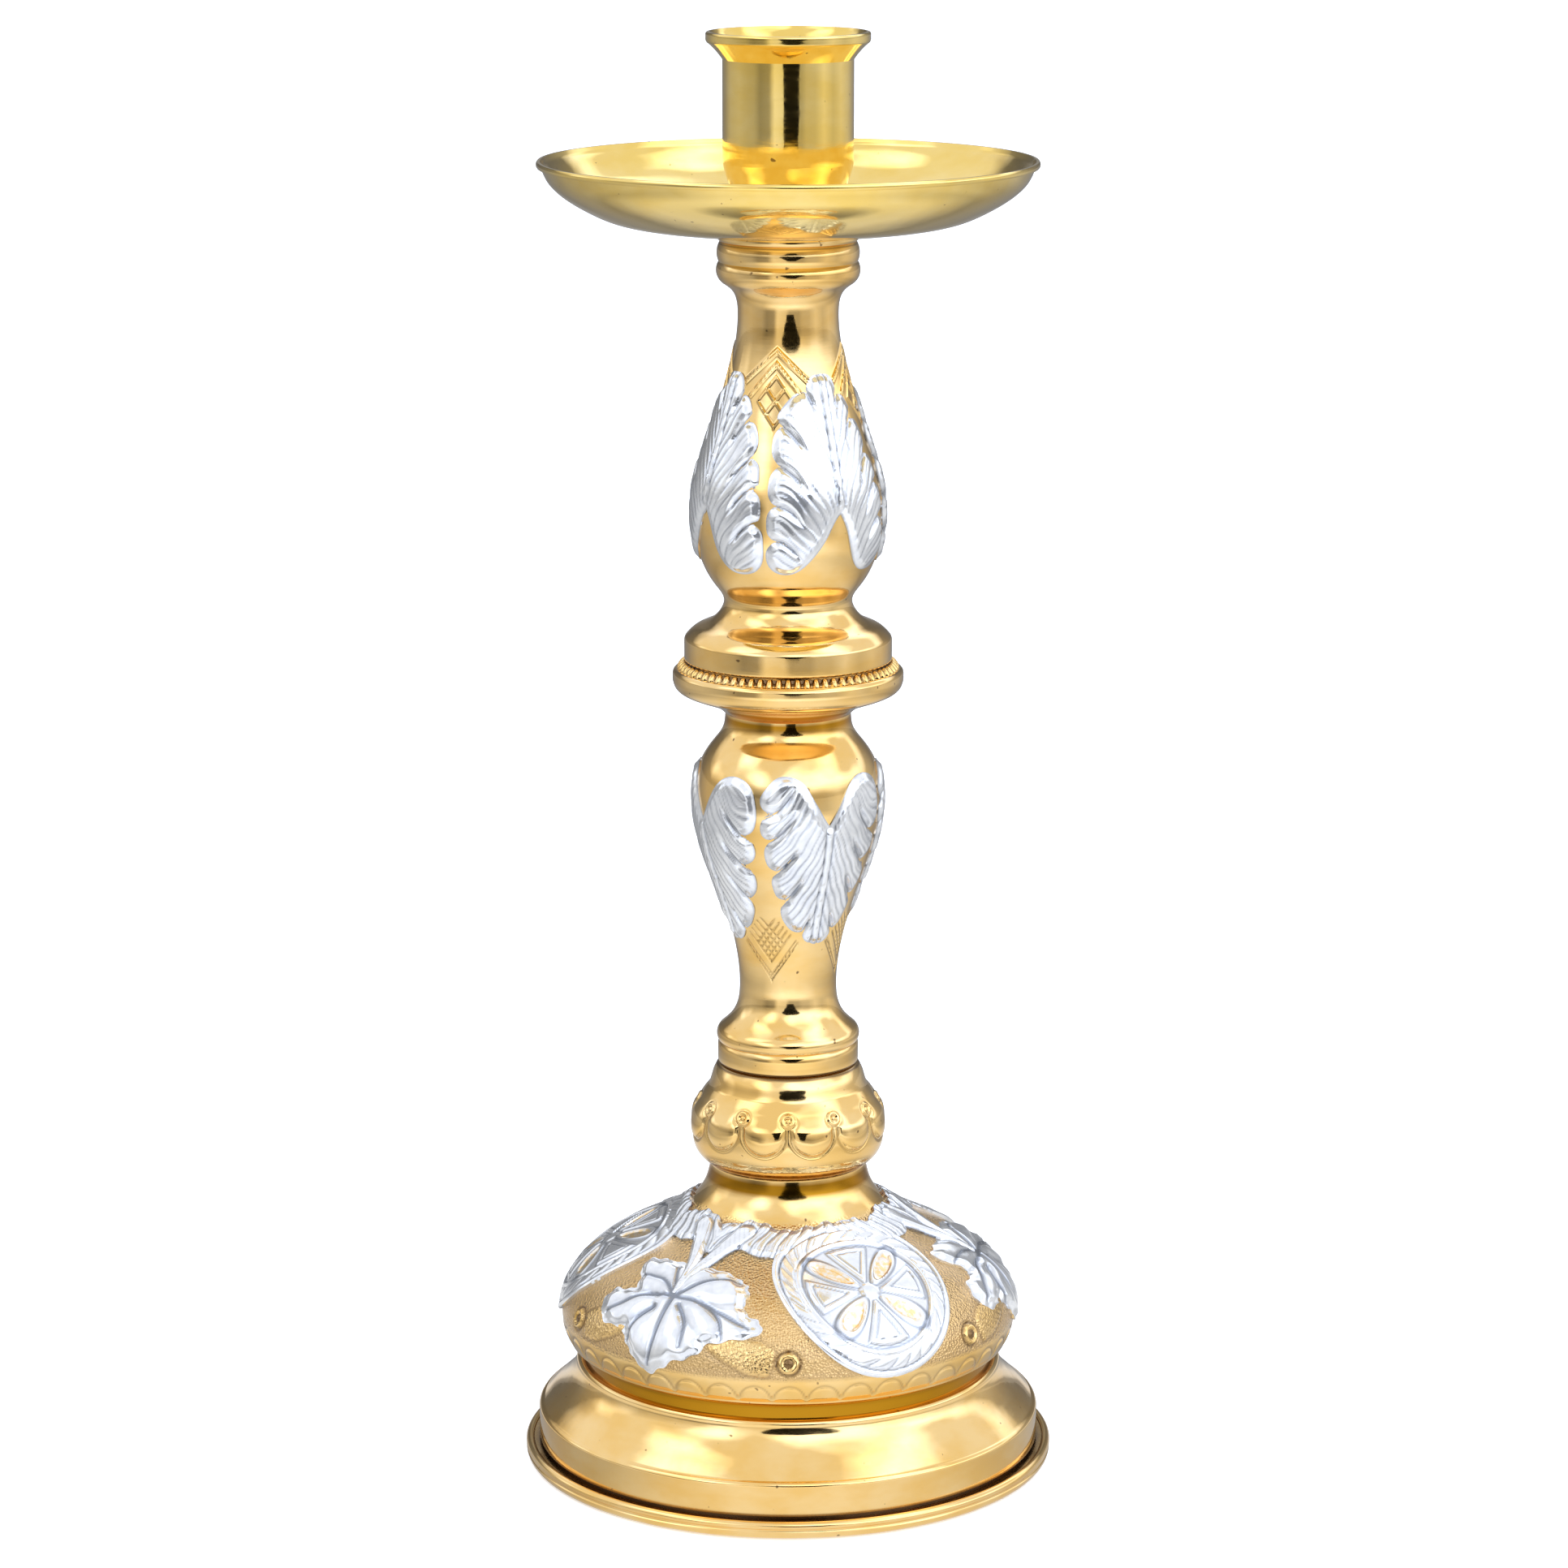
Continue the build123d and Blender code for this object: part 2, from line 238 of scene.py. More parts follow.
def turned(name, stands_for, finish, start, parts, segments=288, sharp=35, body="stem"):
    """Closed turned shell in place of a CAD node. Its outline goes round from the start, metal on its left,
    by parts of (way, step) or (way, step, chased); chased(azimuth, s) gives height, line, matt and painted
    cove shade, the warm dark that stands in for shade and reflection in coves."""
    profile, out, marks = [], [], []
    azimuth = np.linspace(0, 360, segments, endpoint=False)
    for way, step, *chased in parts:
        curve, start = traced(start, way)
        curve = divided(curve, step)
        profile.append(curve[:-1])
        out.append(outwards(curve)[:-1])
        grid = np.meshgrid(azimuth, lengths(curve)[:-1])
        marks.append(np.array(chased[0](*grid) if chased else [0 * grid[0]] * 4))
    profile, out = np.concatenate(profile), np.concatenate(out)
    height, dark, matt, amber = np.concatenate(marks, axis=1)
    turn = np.radians(azimuth)
    r = profile[:, :1] + height * out[:, :1]
    z = profile[:, 1:] + height * out[:, 1:]
    points = np.stack([r * np.sin(turn), -r * np.cos(turn), z], -1).reshape(-1, 3)
    ring, spoke = np.meshgrid(np.arange(len(profile)) * segments, np.arange(segments), indexing="ij")
    after, beside = (ring + segments) % len(points), (spoke + 1) % segments
    faces = np.stack([ring + spoke, ring + beside, after + beside, after + spoke], -1).reshape(-1, 4)
    piece = mesh_object(name, points, faces.tolist(), finish, sharp, dark=dark, matt=matt, amber=amber)
    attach(piece, body)
    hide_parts(stands_for)


def relief(name, surface, centre, width, span, shape, raised):
    """Raised silver cut out of a turned surface. shape(a, s) is the distance to its outline, a being the
    azimuth from its centre; raised(a, s, d) gives height, line and gilding. Width 360 makes a closed band."""
    closed = width >= 360
    low, high = span
    rows = int((high - low) / FINE) + 2
    widest = surface.radius(np.linspace(low, high, 50)).max()
    columns = int(radians(width) * widest / FINE) + 2
    across = np.linspace(-width / 2, width / 2, columns, endpoint=not closed)
    a, s = np.meshgrid(across, np.linspace(low, high, rows))
    d = shape(a, s)
    # points beside the outline move onto it, in a few steps down the slope of the distance
    near = np.abs(d) < 0.55 * FINE
    na, ns = a[near], s[near]
    nudge = 0.04
    for _ in range(3):
        scale = np.degrees(1 / surface.radius(ns))
        here = shape(na, ns)
        gu = (shape(na + nudge * scale, ns) - here) / nudge
        gv = (shape(na, ns + nudge) - here) / nudge
        step = np.clip(here / np.maximum(gu**2 + gv**2, 0.25), -FINE, FINE)
        na, ns = na - step * gu * scale, ns - step * gv
    a[near], s[near] = na, ns
    # whole cells inside it are kept, and a corner's triangle where one point is outside
    index = np.arange(a.size).reshape(a.shape)
    right = np.roll(index, -1, 1) if closed else index[:, 1:]
    left = index if closed else index[:, :-1]
    cells = np.stack([left[:-1], right[:-1], right[1:], left[1:]], -1).reshape(-1, 4)
    fine = (near | (d <= 0)).ravel()[cells]
    outside = near.ravel()[cells].all(1) & (d.ravel()[cells].mean(1) > 0.12 * FINE)
    faces = [tuple(c) for c in cells[fine.all(1) & ~outside]]
    corner = fine.sum(1) == 3
    faces += [tuple(cell[ok]) for cell, ok in zip(cells[corner], fine[corner])]
    used = np.unique(np.concatenate(faces))
    new = np.full(a.size, -1)
    new[used] = np.arange(len(used))
    a, s = a.ravel()[used], s.ravel()[used]
    height, dark, gilt = raised(a, s, shape(a, s))
    count = len(used)
    points = np.concatenate([surface.place(a + centre, s, h) for h in (height, -SUNK + 0 * height)])
    # the underside repeats the top, and a wall joins them along the edges that only one face has
    top = [tuple(int(new[v]) for v in f) for f in faces]
    edges = dict.fromkeys((p, q) for f in top for p, q in zip(f, f[1:] + f[:1]))
    under = [tuple(v + count for v in reversed(f)) for f in top]
    wall = [(q, p, p + count, q + count) for p, q in edges if (q, p) not in edges]
    marks = {"dark": np.tile(dark, 2), "gilt": np.tile(gilt, 2)}
    piece = mesh_object(name, points, top + under + wall, SILVER, 50, **marks)
    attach(piece, "stem")


# ---------------- materials
def connect(tree, made, inputs):
    """Gives each input of a node its plain value, or the socket that it reads."""
    for socket, value in inputs.items():
        if isinstance(value, bpy.types.NodeSocket):
            tree.links.new(value, made.inputs[socket])
        else:
            made.inputs[socket].default_value = value


def node(tree, kind, inputs, **settings):
    """The outputs of a new node."""
    made = tree.nodes.new("ShaderNode" + kind)
    for key, value in settings.items():
        setattr(made, key, value)
    connect(tree, made, inputs)
    return made.outputs


def material(name, inputs):
    """A new Principled material with those plain values. Returns it with its tree and shader."""
    made = bpy.data.materials.new(name)
    made.use_nodes = True
    tree = made.node_tree
    shader = tree.nodes["Principled BSDF"]
    connect(tree, shader, inputs)
    return made, tree, shader


def own_place(tree):
    return node(tree, "TexCoord", {})["Object"]


def noise(tree, size, detail=3, stretch=(1, 1, 1)):
    """Noise over the object's own coordinates; size is in mm."""
    place = node(tree, "Mapping", {"Vector": own_place(tree), "Scale": stretch})[0]
    inputs = {"Vector": place, "Scale": 1 / (size * MM), "Detail": detail}
    return node(tree, "TexNoise", inputs)["Fac"]


def ranged(tree, source, low, high, start=0, end=1):
    inputs = {"Value": source, "From Min": start, "From Max": end, "To Min": low, "To Max": high}
    return node(tree, "MapRange", inputs)[0]


def mixed(tree, share, *pair):
    """The first colour where share is 0 and the second where it is 1; each is a colour or a socket."""
    first, second = ((*value, 1) if isinstance(value, tuple) else value for value in pair)
    return node(tree, "Mix", {0: share, 6: first, 7: second}, data_type="RGBA")[2]


def calculate(tree, operation, *values):
    return node(tree, "Math", dict(enumerate(values)), operation=operation)[0]


def plus(tree, a, b):
    return calculate(tree, "ADD", a, b)


def times(tree, a, b):
    return calculate(tree, "MULTIPLY", a, b)


def mark(tree, name):
    return node(tree, "Attribute", {}, attribute_name=name)["Fac"]


def bumped(tree, *layers):
    """Input for a shader's normal: bumps of (height, distance in mm, strength), one on another."""
    normal = {}
    for height, distance, strength in layers:
        inputs = {"Height": height, "Distance": distance * MM, "Strength": strength, **normal}
        normal = {"Normal": node(tree, "Bump", inputs)[0]}
    return normal


GOLD, GOLD_PALE, GOLD_DEEP = (0.91, 0.565, 0.165), (0.95, 0.65, 0.26), (0.60, 0.39, 0.17)
LEMON, LEMON_PALE = (0.91, 0.63, 0.15), (0.95, 0.70, 0.23)
# painted cove shade: the last two colours on the next line are the warm dark of shade and reflection in coves
# and under parts
TARNISH_AND_SHADE, COVE_SHADE_WARM, COVE_SHADE_LEMON = (0.12, 0.055, 0.015), (0.52, 0.24, 0.012), (0.66, 0.43, 0.03)
WHITE_METAL, GREY_METAL, SHADE = (0.90, 0.90, 0.885), (0.76, 0.77, 0.775), (0.22, 0.235, 0.26)


def brass(name, colour, pale, cove_shade_colour):
    """Turned, polished and lacquered brass: matted, dark, and in painted cove shade where the marks say so;
    the dark is joints and lines, and painted shade and painted reflection too.
    """
    made, tree, shader = material(name, {"Metallic": 1, "Coat Roughness": 0.03})
    matt, dark, amber = mark(tree, "matt"), mark(tree, "dark"), mark(tree, "amber")
    patches = ranged(tree, noise(tree, 14, 4, (1, 1, 2)), 0, 1, 0.38, 0.62)
    specks = ranged(tree, noise(tree, 1.6, 1), 0, 0.8, 0.76, 0.82)
    # the tarnish colour darkens random specks, and through the dark mark also joints, lines, painted shade
    # and painted reflection
    for share, tone in ((patches, pale), (specks, TARNISH_AND_SHADE), (times(tree, matt, 0.8), GOLD_DEEP),
                        (amber, cove_shade_colour), (times(tree, dark, 0.95), TARNISH_AND_SHADE)):
        colour = mixed(tree, share, colour, tone)
    rough = ranged(tree, noise(tree, 5, 4, (1, 1, 6)), 0.05, 0.13, 0.3, 0.7)
    rough = plus(tree, plus(tree, rough, times(tree, matt, 0.2)), times(tree, dark, 0.2))
    pits = node(tree, "TexVoronoi", {"Vector": own_place(tree), "Scale": 1 / (0.55 * MM)})
    connect(tree, shader, {
        "Base Color": colour, "Roughness": rough, "Coat Weight": ranged(tree, amber, 0.4, 0),
        **bumped(tree,
                 (noise(tree, 9, 2), 0.2, 0.4),
                 (noise(tree, 3, 2, (0.3, 0.3, 2)), 0.025, 0.4),
                 (noise(tree, 0.9, 2, (0.1, 0.1, 4)), 0.003, 0.5),
                 (times(tree, pits["Distance"], matt), 0.3, 0.8))})
    return made


def silver():
    """Silver plate on chased relief: grey in the lines, gilt where the mark says so."""
    made, tree, shader = material("silver_plate", {"Metallic": 0.8})
    dark, gilt = mark(tree, "dark"), mark(tree, "gilt")
    veil = ranged(tree, noise(tree, 2.2, 4), 0, 1, 0.35, 0.75)
    worn = ranged(tree, noise(tree, 1.1, 3), 0.3, 1, 0.4, 0.58)
    colour = mixed(tree, veil, WHITE_METAL, GREY_METAL)
    colour = mixed(tree, times(tree, gilt, worn), colour, GOLD_PALE)
    connect(tree, shader, {
        "Base Color": mixed(tree, times(tree, dark, 0.95), colour, SHADE),
        "Roughness": plus(tree, ranged(tree, veil, 0.1, 0.17), times(tree, dark, 0.15)),
        **bumped(tree, (noise(tree, 3, 2), 0.14, 0.35), (noise(tree, 0.7, 2), 0.02, 0.3))})
    return made


def steel():
    """Zinc-plated steel with a fine mottled finish."""
    made, tree, shader = material("zinc_steel", {"Metallic": 1})
    veil = ranged(tree, noise(tree, 4, 4), 0, 1, 0.3, 0.7)
    connect(tree, shader, {
        "Base Color": mixed(tree, veil, (0.62, 0.63, 0.65), (0.50, 0.51, 0.54)),
        "Roughness": ranged(tree, veil, 0.3, 0.42),
        **bumped(tree, (noise(tree, 4 / 6, 2), 0.02, 0.4))})
    return made


def fibre():
    """Red-brown vulcanised fibre."""
    made, tree, shader = material("fibre", {"Roughness": 0.6})
    veil = noise(tree, 0.6, 5, (1, 1, 8))
    connect(tree, shader, {
        "Base Color": mixed(tree, veil, (0.20, 0.05, 0.03), (0.32, 0.10, 0.06)),
        **bumped(tree, (veil, 0.03, 0.5))})
    return made


BRASS = brass("warm_brass", GOLD, GOLD_PALE, COVE_SHADE_WARM)
LEMON_BRASS = brass("lemon_brass", LEMON, LEMON_PALE, COVE_SHADE_LEMON)
SILVER = silver()
STEEL = steel()
FIBRE = fibre()


# ---------------- outlines shared by shells and relief
# radii of the rim, the pan, the candle's bore, the hollow core, the bores for spigots, and the rod
BASE_RADIUS, PAN_RADIUS, CANDLE_BORE, CORE, SPIGOT, ROD = 59.5, 54.4, 12.9, 15.4, 13.4, 3
SHEET = 1.2  # thickness of the spun sheet
# heights of the joints
FOOT_TOP, DOME_TOP, KNOP_TOP, LOWER_TOP, RING_SEAT, DISC_TOP = 23, 68, 91.4, 171.2, 181.2, 182.9
UPPER_TOP, COLLAR_TOP = 275.1, 276.9
DOME = spline([
    (49.6, 27.9), (50.75, 30.6), (51.15, 33.6), (49.2, 40), (45.9, 44), (40.7, 48), (32.9, 52),
    (25.8, 56), (20.9, 60), (18.4, 64.2), (17.5, DOME_TOP)])
KNOP = spline([
    (17.5, 68.4), (19.2, 69.6), (20.9, 71.9), (21.5, 75.6), (20.9, 80.4), (19.3, 84.2), (17.7, 86.2)])
LOWER_VASE = spline([
    (15.3, 99.7), (12.7, 102.2), (11.2, 105.4), (10.8, 109), (11.4, 116.5), (13.1, 124), (15.7, 132),
    (18.5, 140), (20.35, 148), (20.6, 153.5), (19.6, 159.6), (16.6, 164.6), (14.4, 167.8), (13.9, LOWER_TOP)])
UPPER_VASE = spline([
    (22.5, 188.5), (20.8, 190.1), (17.2, 191.8), (15, 193.9), (14.1, 196.4), (16, 199.8), (18.6, 204.2),
    (20.3, 209.8), (20.8, 215.5), (20, 223.5), (18, 230), (15.5, 238), (13.1, 246), (11.4, 254),
    (11, 259.5), (12.1, 264.3), (14.3, 266.1)])
dome, knop_side, lower, upper = Surface(DOME), Surface(KNOP), Surface(LOWER_VASE), Surface(UPPER_VASE)


def folded(azimuth, centre, period):
    """The azimuth from the nearest of the centres that repeat with that period."""
    return (azimuth - centre + period / 2) % period - period / 2


def toned(amber=1, dark=0, rise=None, fall=None):
    """A plain part in painted cove shade, the warm dark that stands in for shade and reflection in a cove,
    and dark, which fade in and out between those lengths.
    """
    def tone(azimuth, s):
        share = 1 + 0 * s
        if rise:
            share = smooth(s, *rise)
        if fall:
            share = share * (1 - smooth(s, *fall))
        return 0 * s, dark * share, 0 * s, amber * share

    return tone


DARK_JOINT = toned(0, 1)


# ---------------- base
def base_rim():
    edge, spigot, inner, ledge, top = BASE_RADIUS, 55.2, 53.9, 3.5, 9
    turned("rim", "base_rim", BRASS, (inner, 0), [
        ((edge - 1.6, 0), 5),
        (((edge - 0.45, 0.5), (edge, 1.7)), 0.25),
        (((edge - 0.25, 2.15), (edge, 2.6)), 0.2),
        (((edge - 0.6, 3.9), (57.7, ledge)), 0.25),
        # painted shadow on the ledge under the foot's band
        ((spigot, ledge), 1, toned(0, 1, rise=(-0.2, 0.5))),
        ((spigot, top), 6, DARK_JOINT),
        ((inner, top), 2),
        ((inner, 0), 9)], 360)


def base_foot():
    band, inside, hole, low = 56.5, 55.3, 37, 4.4
    sweep = spline([(55.6, 12), (53.6, 13.95), (51.5, 15.9), (49.8, 17.9), (48.6, 19.9), (47.95, 21.7)])
    under = inset(sweep, SHEET)[::-1]
    turned("foot", "base_foot", BRASS, (band, low), [
        # painted shadow along the band's bottom edge, over the gap to the rim
        ((band, 10.8), [(0.9, 0.3), (6.4, 1.6)], toned(0, 0.9, fall=(0.2, 0.7))),
        (((56.3, 11.6), (55.6, 12)), 0.3),
        (sweep, 0.5),
        (((47.75, 22.6), (47.2, FOOT_TOP)), 0.3),
        # painted cove shade on the foot's top, under the dome
        ((hole, FOOT_TOP), 0.6, toned(rise=(0, 0.6))),
        ((hole, FOOT_TOP - SHEET), 2),
        (tuple(under[0] - (0.15, -0.1)), 3),
        (under, 0.8),
        ((inside, 10.6), 1),
        ((inside, low), 6.5),
        ((band, low), 2)], 360)


SCALLOPS = 42
DOME_REPEAT = 120
MEDALLION = (26.5, 25.5)  # azimuth and length along the dome of the middle of one medallion
STEM = -36.5  # azimuth of the middle of one vine leaf


def chased_dome(azimuth, s):
    """Scalloped border, eyes and fins beside the medallions, and the matted ground between the silver;
    painted reflection darkens the eyes' centres and rings, and painted cove shade the shoulder under the
    knop.
    """
    u, v = dome.flat(folded(azimuth, 0.3, 360 / SCALLOPS), s)
    reach = np.hypot(u, v - 0.9)
    scale = groove(reach - 3.45, 0.42) * smooth(v, 0.6, 1.6)
    height = 0.13 * smooth(3.4 - reach, 0, 0.9) * smooth(v, 0, 1.2) - 0.16 * scale
    dark = 0.4 * scale
    side = np.abs(folded(azimuth, MEDALLION[0], DOME_REPEAT))
    u, v = dome.flat(side - 26.4, s)
    eye = np.hypot(u, v - 9.6)
    height += 0.55 * bump(eye - 1.75, 0.55) + 0.5 * bump(eye, 0.95) - 0.3 * groove(eye - 2.65, 0.5)
    # painted reflection: a dark ring round each eye and a dark centre
    dark += 0.9 * groove(eye - 2.6, 0.7) + 0.95 * smooth(1.4 - eye, 0, 0.5)
    fin = polygon([(2.6, 12.2), (6, 14.6), (12, 14.9), (19.5, 12.6), (15, 9.4), (9, 6.6), (4.2, 6.4)])(u, v)
    inside = smooth(-fin, 0, 0.8)
    stripe = np.abs(((u * 0.42 + v * 0.9) / 1.15) % 1 - 0.5) * 1.15
    height += inside * (0.25 + 0.16 * bump(stripe, 0.5)) - 0.15 * groove(fin, 0.4)
    dark += 0.45 * inside * groove(stripe - 0.57, 0.18) + 0.4 * groove(fin, 0.4)
    matt = smooth(s, 5.2, 6.6) * (1 - smooth(s, 46, 47.5)) * (1 - 0.6 * inside) * smooth(eye, 2, 3)
    # painted reflection of the knop's underside on the dome's shoulder, as cove shade and a little dark
    shoulder = smooth(s, 52.4, 53.6)
    return height, np.clip(dark + 0.15 * shoulder, 0, 1), matt, shoulder


def base_dome():
    recess, inside, inside_edge = 46.4, 45.2, 29
    inner = inset(DOME, SHEET)[::-1]
    inner = inner[inner[:, 1] > inside_edge]
    turned("dome", "base_dome", BRASS, (recess, FOOT_TOP), [
        # painted cove shade in the recess and under the dome's lip
        ((recess, 25.2), 0.8, toned()),
        (((47.2, 26.9), (49.2, 27.4)), 0.2, toned(fall=(2.6, 3.8))),
        (((49.5, 27.55), (49.6, 27.9)), 0.2),
        (DOME, [(5.4, 0.3), (15, 0.45), (47, 0.95), (57, 1)], chased_dome),
        (tuple(inner[0]), 2),
        (inner, 3.2),
        ((inside, 26.4), 3),
        ((inside, FOOT_TOP), 4),
        ((recess, FOOT_TOP), 2)], SCALLOPS * 18, 60)


# ---------------- stem
LOBES = 12


def chased_knop(azimuth, s):
    """Rings with a dot between hanging tongues."""
    u, v = knop_side.flat(folded(azimuth, 0, 360 / LOBES), s)
    ring = np.hypot(u, v - 16.1)
    w, _ = knop_side.flat(folded(azimuth, 180 / LOBES, 360 / LOBES), s)
    tongue = np.hypot(w * 1.02, np.minimum(v - 12.9, 0)) - 4.75
    fade = 1 - smooth(v, 13.2, 17.2)
    clear = smooth(ring, 1.5, 2.6)
    full = np.sqrt(np.clip(1 - (1 - np.clip(-tongue / 3.6, 0, 1)) ** 2, 0, 1))
    height = (0.8 * full * fade - 0.25 * groove(tongue - 0.3, 0.7) * (1 - smooth(v, 14, 16))) * clear
    height += 0.36 * bump(ring - 1.2, 0.42) + 0.3 * bump(ring, 0.5) - 0.1 * groove(ring - 1.85, 0.4)
    dark = 0.25 * groove(tongue - 0.3, 0.35) * (1 - smooth(v, 13, 15)) * clear
    # the last term paints shade on the knop's underside, over the dome, where the fourth value paints cove
    # shade
    dark += 0.5 * groove(ring - 0.66, 0.22) + 0.3 * groove(ring - 1.75, 0.3) + 0.2 * (1 - smooth(s, 1.8, 3.4))
    return height, np.clip(dark, 0, 1), 0 * height, 1 - smooth(s, 2.6, 3.4)


def knop():
    seat = 15.2
    shoulder = spline([(17.7, 86.2), (17.3, 87.4), (16.75, 89.3), (15.9, 91)])
    turned("knop_shell", "knop", BRASS, (CORE, DOME_TOP), [
        ((17.5, DOME_TOP), 2),
        ((17.5, 68.4), 1),
        (KNOP, 0.26, chased_knop),
        (shoulder, 0.5),
        ((seat, KNOP_TOP), 1, DARK_JOINT),
        ((SPIGOT, KNOP_TOP), 2),
        ((SPIGOT, 86), 6),
        ((CORE, 83.5), 4),
        ((CORE, DOME_TOP), 16)], LOBES * 40, 60)


LOWER_LEAF, UPPER_LEAF = 26, 32.5  # azimuth of one leaf's midrib on each baluster


def chased_lower(azimuth, s):
    """Net in a V between two leaves, engraved."""
    u, v = lower.flat(folded(azimuth, LOWER_LEAF - 45, 90), s)
    rise, apex = 1.35, 14.8
    first, second = (v - apex) / rise - u, (v - apex) / rise + u
    inside = smooth(np.minimum(first, second), -0.5, -0.2) * (1 - smooth(s, 28.6, 30))
    lines = np.zeros_like(u)
    for offset in (0, 0.75, 3, 4.5, 6, 7.6, 9.2):
        reach = 1 - smooth(np.maximum(first, second), 12.5, 13.2)
        for d, other in ((first, second), (second, first)):
            shown = 1 if offset < 1 else smooth(other, 2.6, 3)
            lines = np.maximum(lines, groove((d - offset) * 0.8, 0.34) * shown * reach)
    lines = lines * inside
    # the fourth value paints cove shade at the top, under the disc
    return -0.2 * lines, 0.3 * lines, 0 * lines, smooth(s, 72.5, 75)


def chased_upper(azimuth, s):
    """Quartered diamond under two chevrons between two leaves, in raised double lines."""
    u, v = upper.flat(folded(azimuth, UPPER_LEAF - 44, 90), s)
    v = v - 60.2
    wide, high = 3.9, 5.5
    slant = 1 / np.hypot(1 / wide, 1 / high)
    p, q = u / wide + v / high, v / high - u / wide
    diamond = (np.abs(u) / wide + np.abs(v) / high - 1) * slant
    inside = diamond < 0.25
    lines = groove(diamond, 0.34)
    quarters = np.minimum(np.abs(p), np.abs(q)) * slant
    lines = np.maximum(lines, groove(quarters, 0.42) * inside)
    for apex, rise, half in ((7.8, 1.2, 6.2), (8.5, 1.2, 6.4), (10.6, 0.95, 7.4), (11.4, 0.95, 7.6)):
        d = (v - apex + rise * np.abs(u)) / np.hypot(1, rise)
        lines = np.maximum(lines, groove(d, 0.46) * (1 - smooth(np.abs(u), half - 0.3, half + 0.1)))
    ground = (1 - smooth(diamond, 0, 0.6)) * 0.3
    return 0.36 * lines - 0.1 * ground, np.clip(ground * 1.1 * (1 - lines), 0, 1), 0 * lines, 0 * lines


def lower_baluster():
    core = spline([(12.1, LOWER_TOP), (CORE, 150), (8.7, 109), (SPIGOT, 97)])
    turned("lower_shell", "lower_baluster", BRASS, (14.9, KNOP_TOP), [
        (((15.45, 91.65), (15.7, 92.2)), 0.25, DARK_JOINT),
        ((15.7, 95.8), 1.2),
        ((15.35, 96.3), 0.5),
        (((15.95, 98), (15.3, 99.7)), 0.3),
        (LOWER_VASE, [(14.5, 0.6), (31, 0.28), (77, 0.7)], chased_lower),
        ((12.1, LOWER_TOP), 2),
        (core, 3),
        ((SPIGOT, KNOP_TOP), 3),
        ((14.9, KNOP_TOP), 2)], 480)


def middle_disc():
    bore, spigot, spigot_top, edge, step = 11.9, CORE - 0.2, 184.7, 25.5, 20.9
    flare = spline([
        (13.9, LOWER_TOP), (15.1, 172.3), (18.2, 173.9), (22.4, 175.4), (24.9, 177), (edge, 178.7)])
    turned("disc", "middle_disc", BRASS, (13.9, LOWER_TOP), [
        # painted cove shade under the disc's flare, fading out along it
        (flare, 0.4, toned(0.35, fall=(2, 4))),
        ((edge, 180), 0.7),
        (((25.2, 180.8), (24.5, RING_SEAT)), 0.2),
        ((step, RING_SEAT), 2),
        ((step, DISC_TOP), 2),
        ((spigot, DISC_TOP), 3),
        ((spigot, spigot_top), 2),
        ((bore, spigot_top), 2),
        ((bore, LOWER_TOP), 14),
        ((13.9, LOWER_TOP), 2)])


TEETH = 72


def milled(azimuth, s):
    """Teeth round the outside, with painted shade between them and on top, and a little painted cove shade
    all over.
    """
    tooth = np.abs(folded(azimuth, 0, 360 / TEETH)) / (180 / TEETH)
    height = 0.3 - 1 * smooth(tooth, 0.3, 0.85)
    # painted shade in the gaps between teeth and along the top
    dark = smooth(tooth, 0.4, 0.7) * smooth(s, 0.1, 0.7)
    return height, np.maximum(dark, smooth(s, 1.75, 2.2)), 0 * height, 0.15 + 0 * height


def bead_ring():
    inner, top = 21, 182.55
    turned("milled_ring", "bead_ring", BRASS, (inner, RING_SEAT), [
        ((24.2, RING_SEAT), 4),
        (((23.7, 182.15), (22.6, top)), 0.25, milled),
        ((inner, top), 2, DARK_JOINT),
        ((inner, RING_SEAT), 2)], TEETH * 8, 60)


def upper_baluster():
    waist, band = (15.15, 270.8), 22.9
    core = spline([(SPIGOT, 268), (8.9, 257), (CORE, 215), (11.9, 196.5), (CORE, 187)])
    turned("upper_shell", "upper_baluster", BRASS, (22.3, DISC_TOP), [
        (((22.75, 183.1), (band, 183.6)), 0.25),
        ((band, 187.4), 1.2),
        (((22.8, 188), (22.5, 188.5)), 0.25),
        (UPPER_VASE, [(54.5, 1), (72.5, 0.28), (86, 0.8)], chased_upper),
        (((15.66, 268.4), waist), 0.35, toned(0, 0.45, rise=(4.5, 5))),
        (((15.55, 272.7), (14.9, UPPER_TOP)), 0.35, toned(0, 0.9, rise=(3.7, 4.3))),
        ((SPIGOT, UPPER_TOP), 2),
        ((SPIGOT, 268), 7),
        (core, 3),
        ((CORE, DISC_TOP), 4),
        ((22.3, DISC_TOP), 4)], 480)


def top_collar():
    hole, spigot, low = ROD + 0.05, SPIGOT - 0.2, 272.7
    turned("collar", "top_collar", BRASS, (hole, low), [
        ((spigot, low), 5),
        ((spigot, UPPER_TOP), 3),
        ((14.8, UPPER_TOP), 2),
        (((15.3, 275.8), (15, COLLAR_TOP)), 0.2),
        ((hole, COLLAR_TOP), 6),
        ((hole, low), 5)], 192)


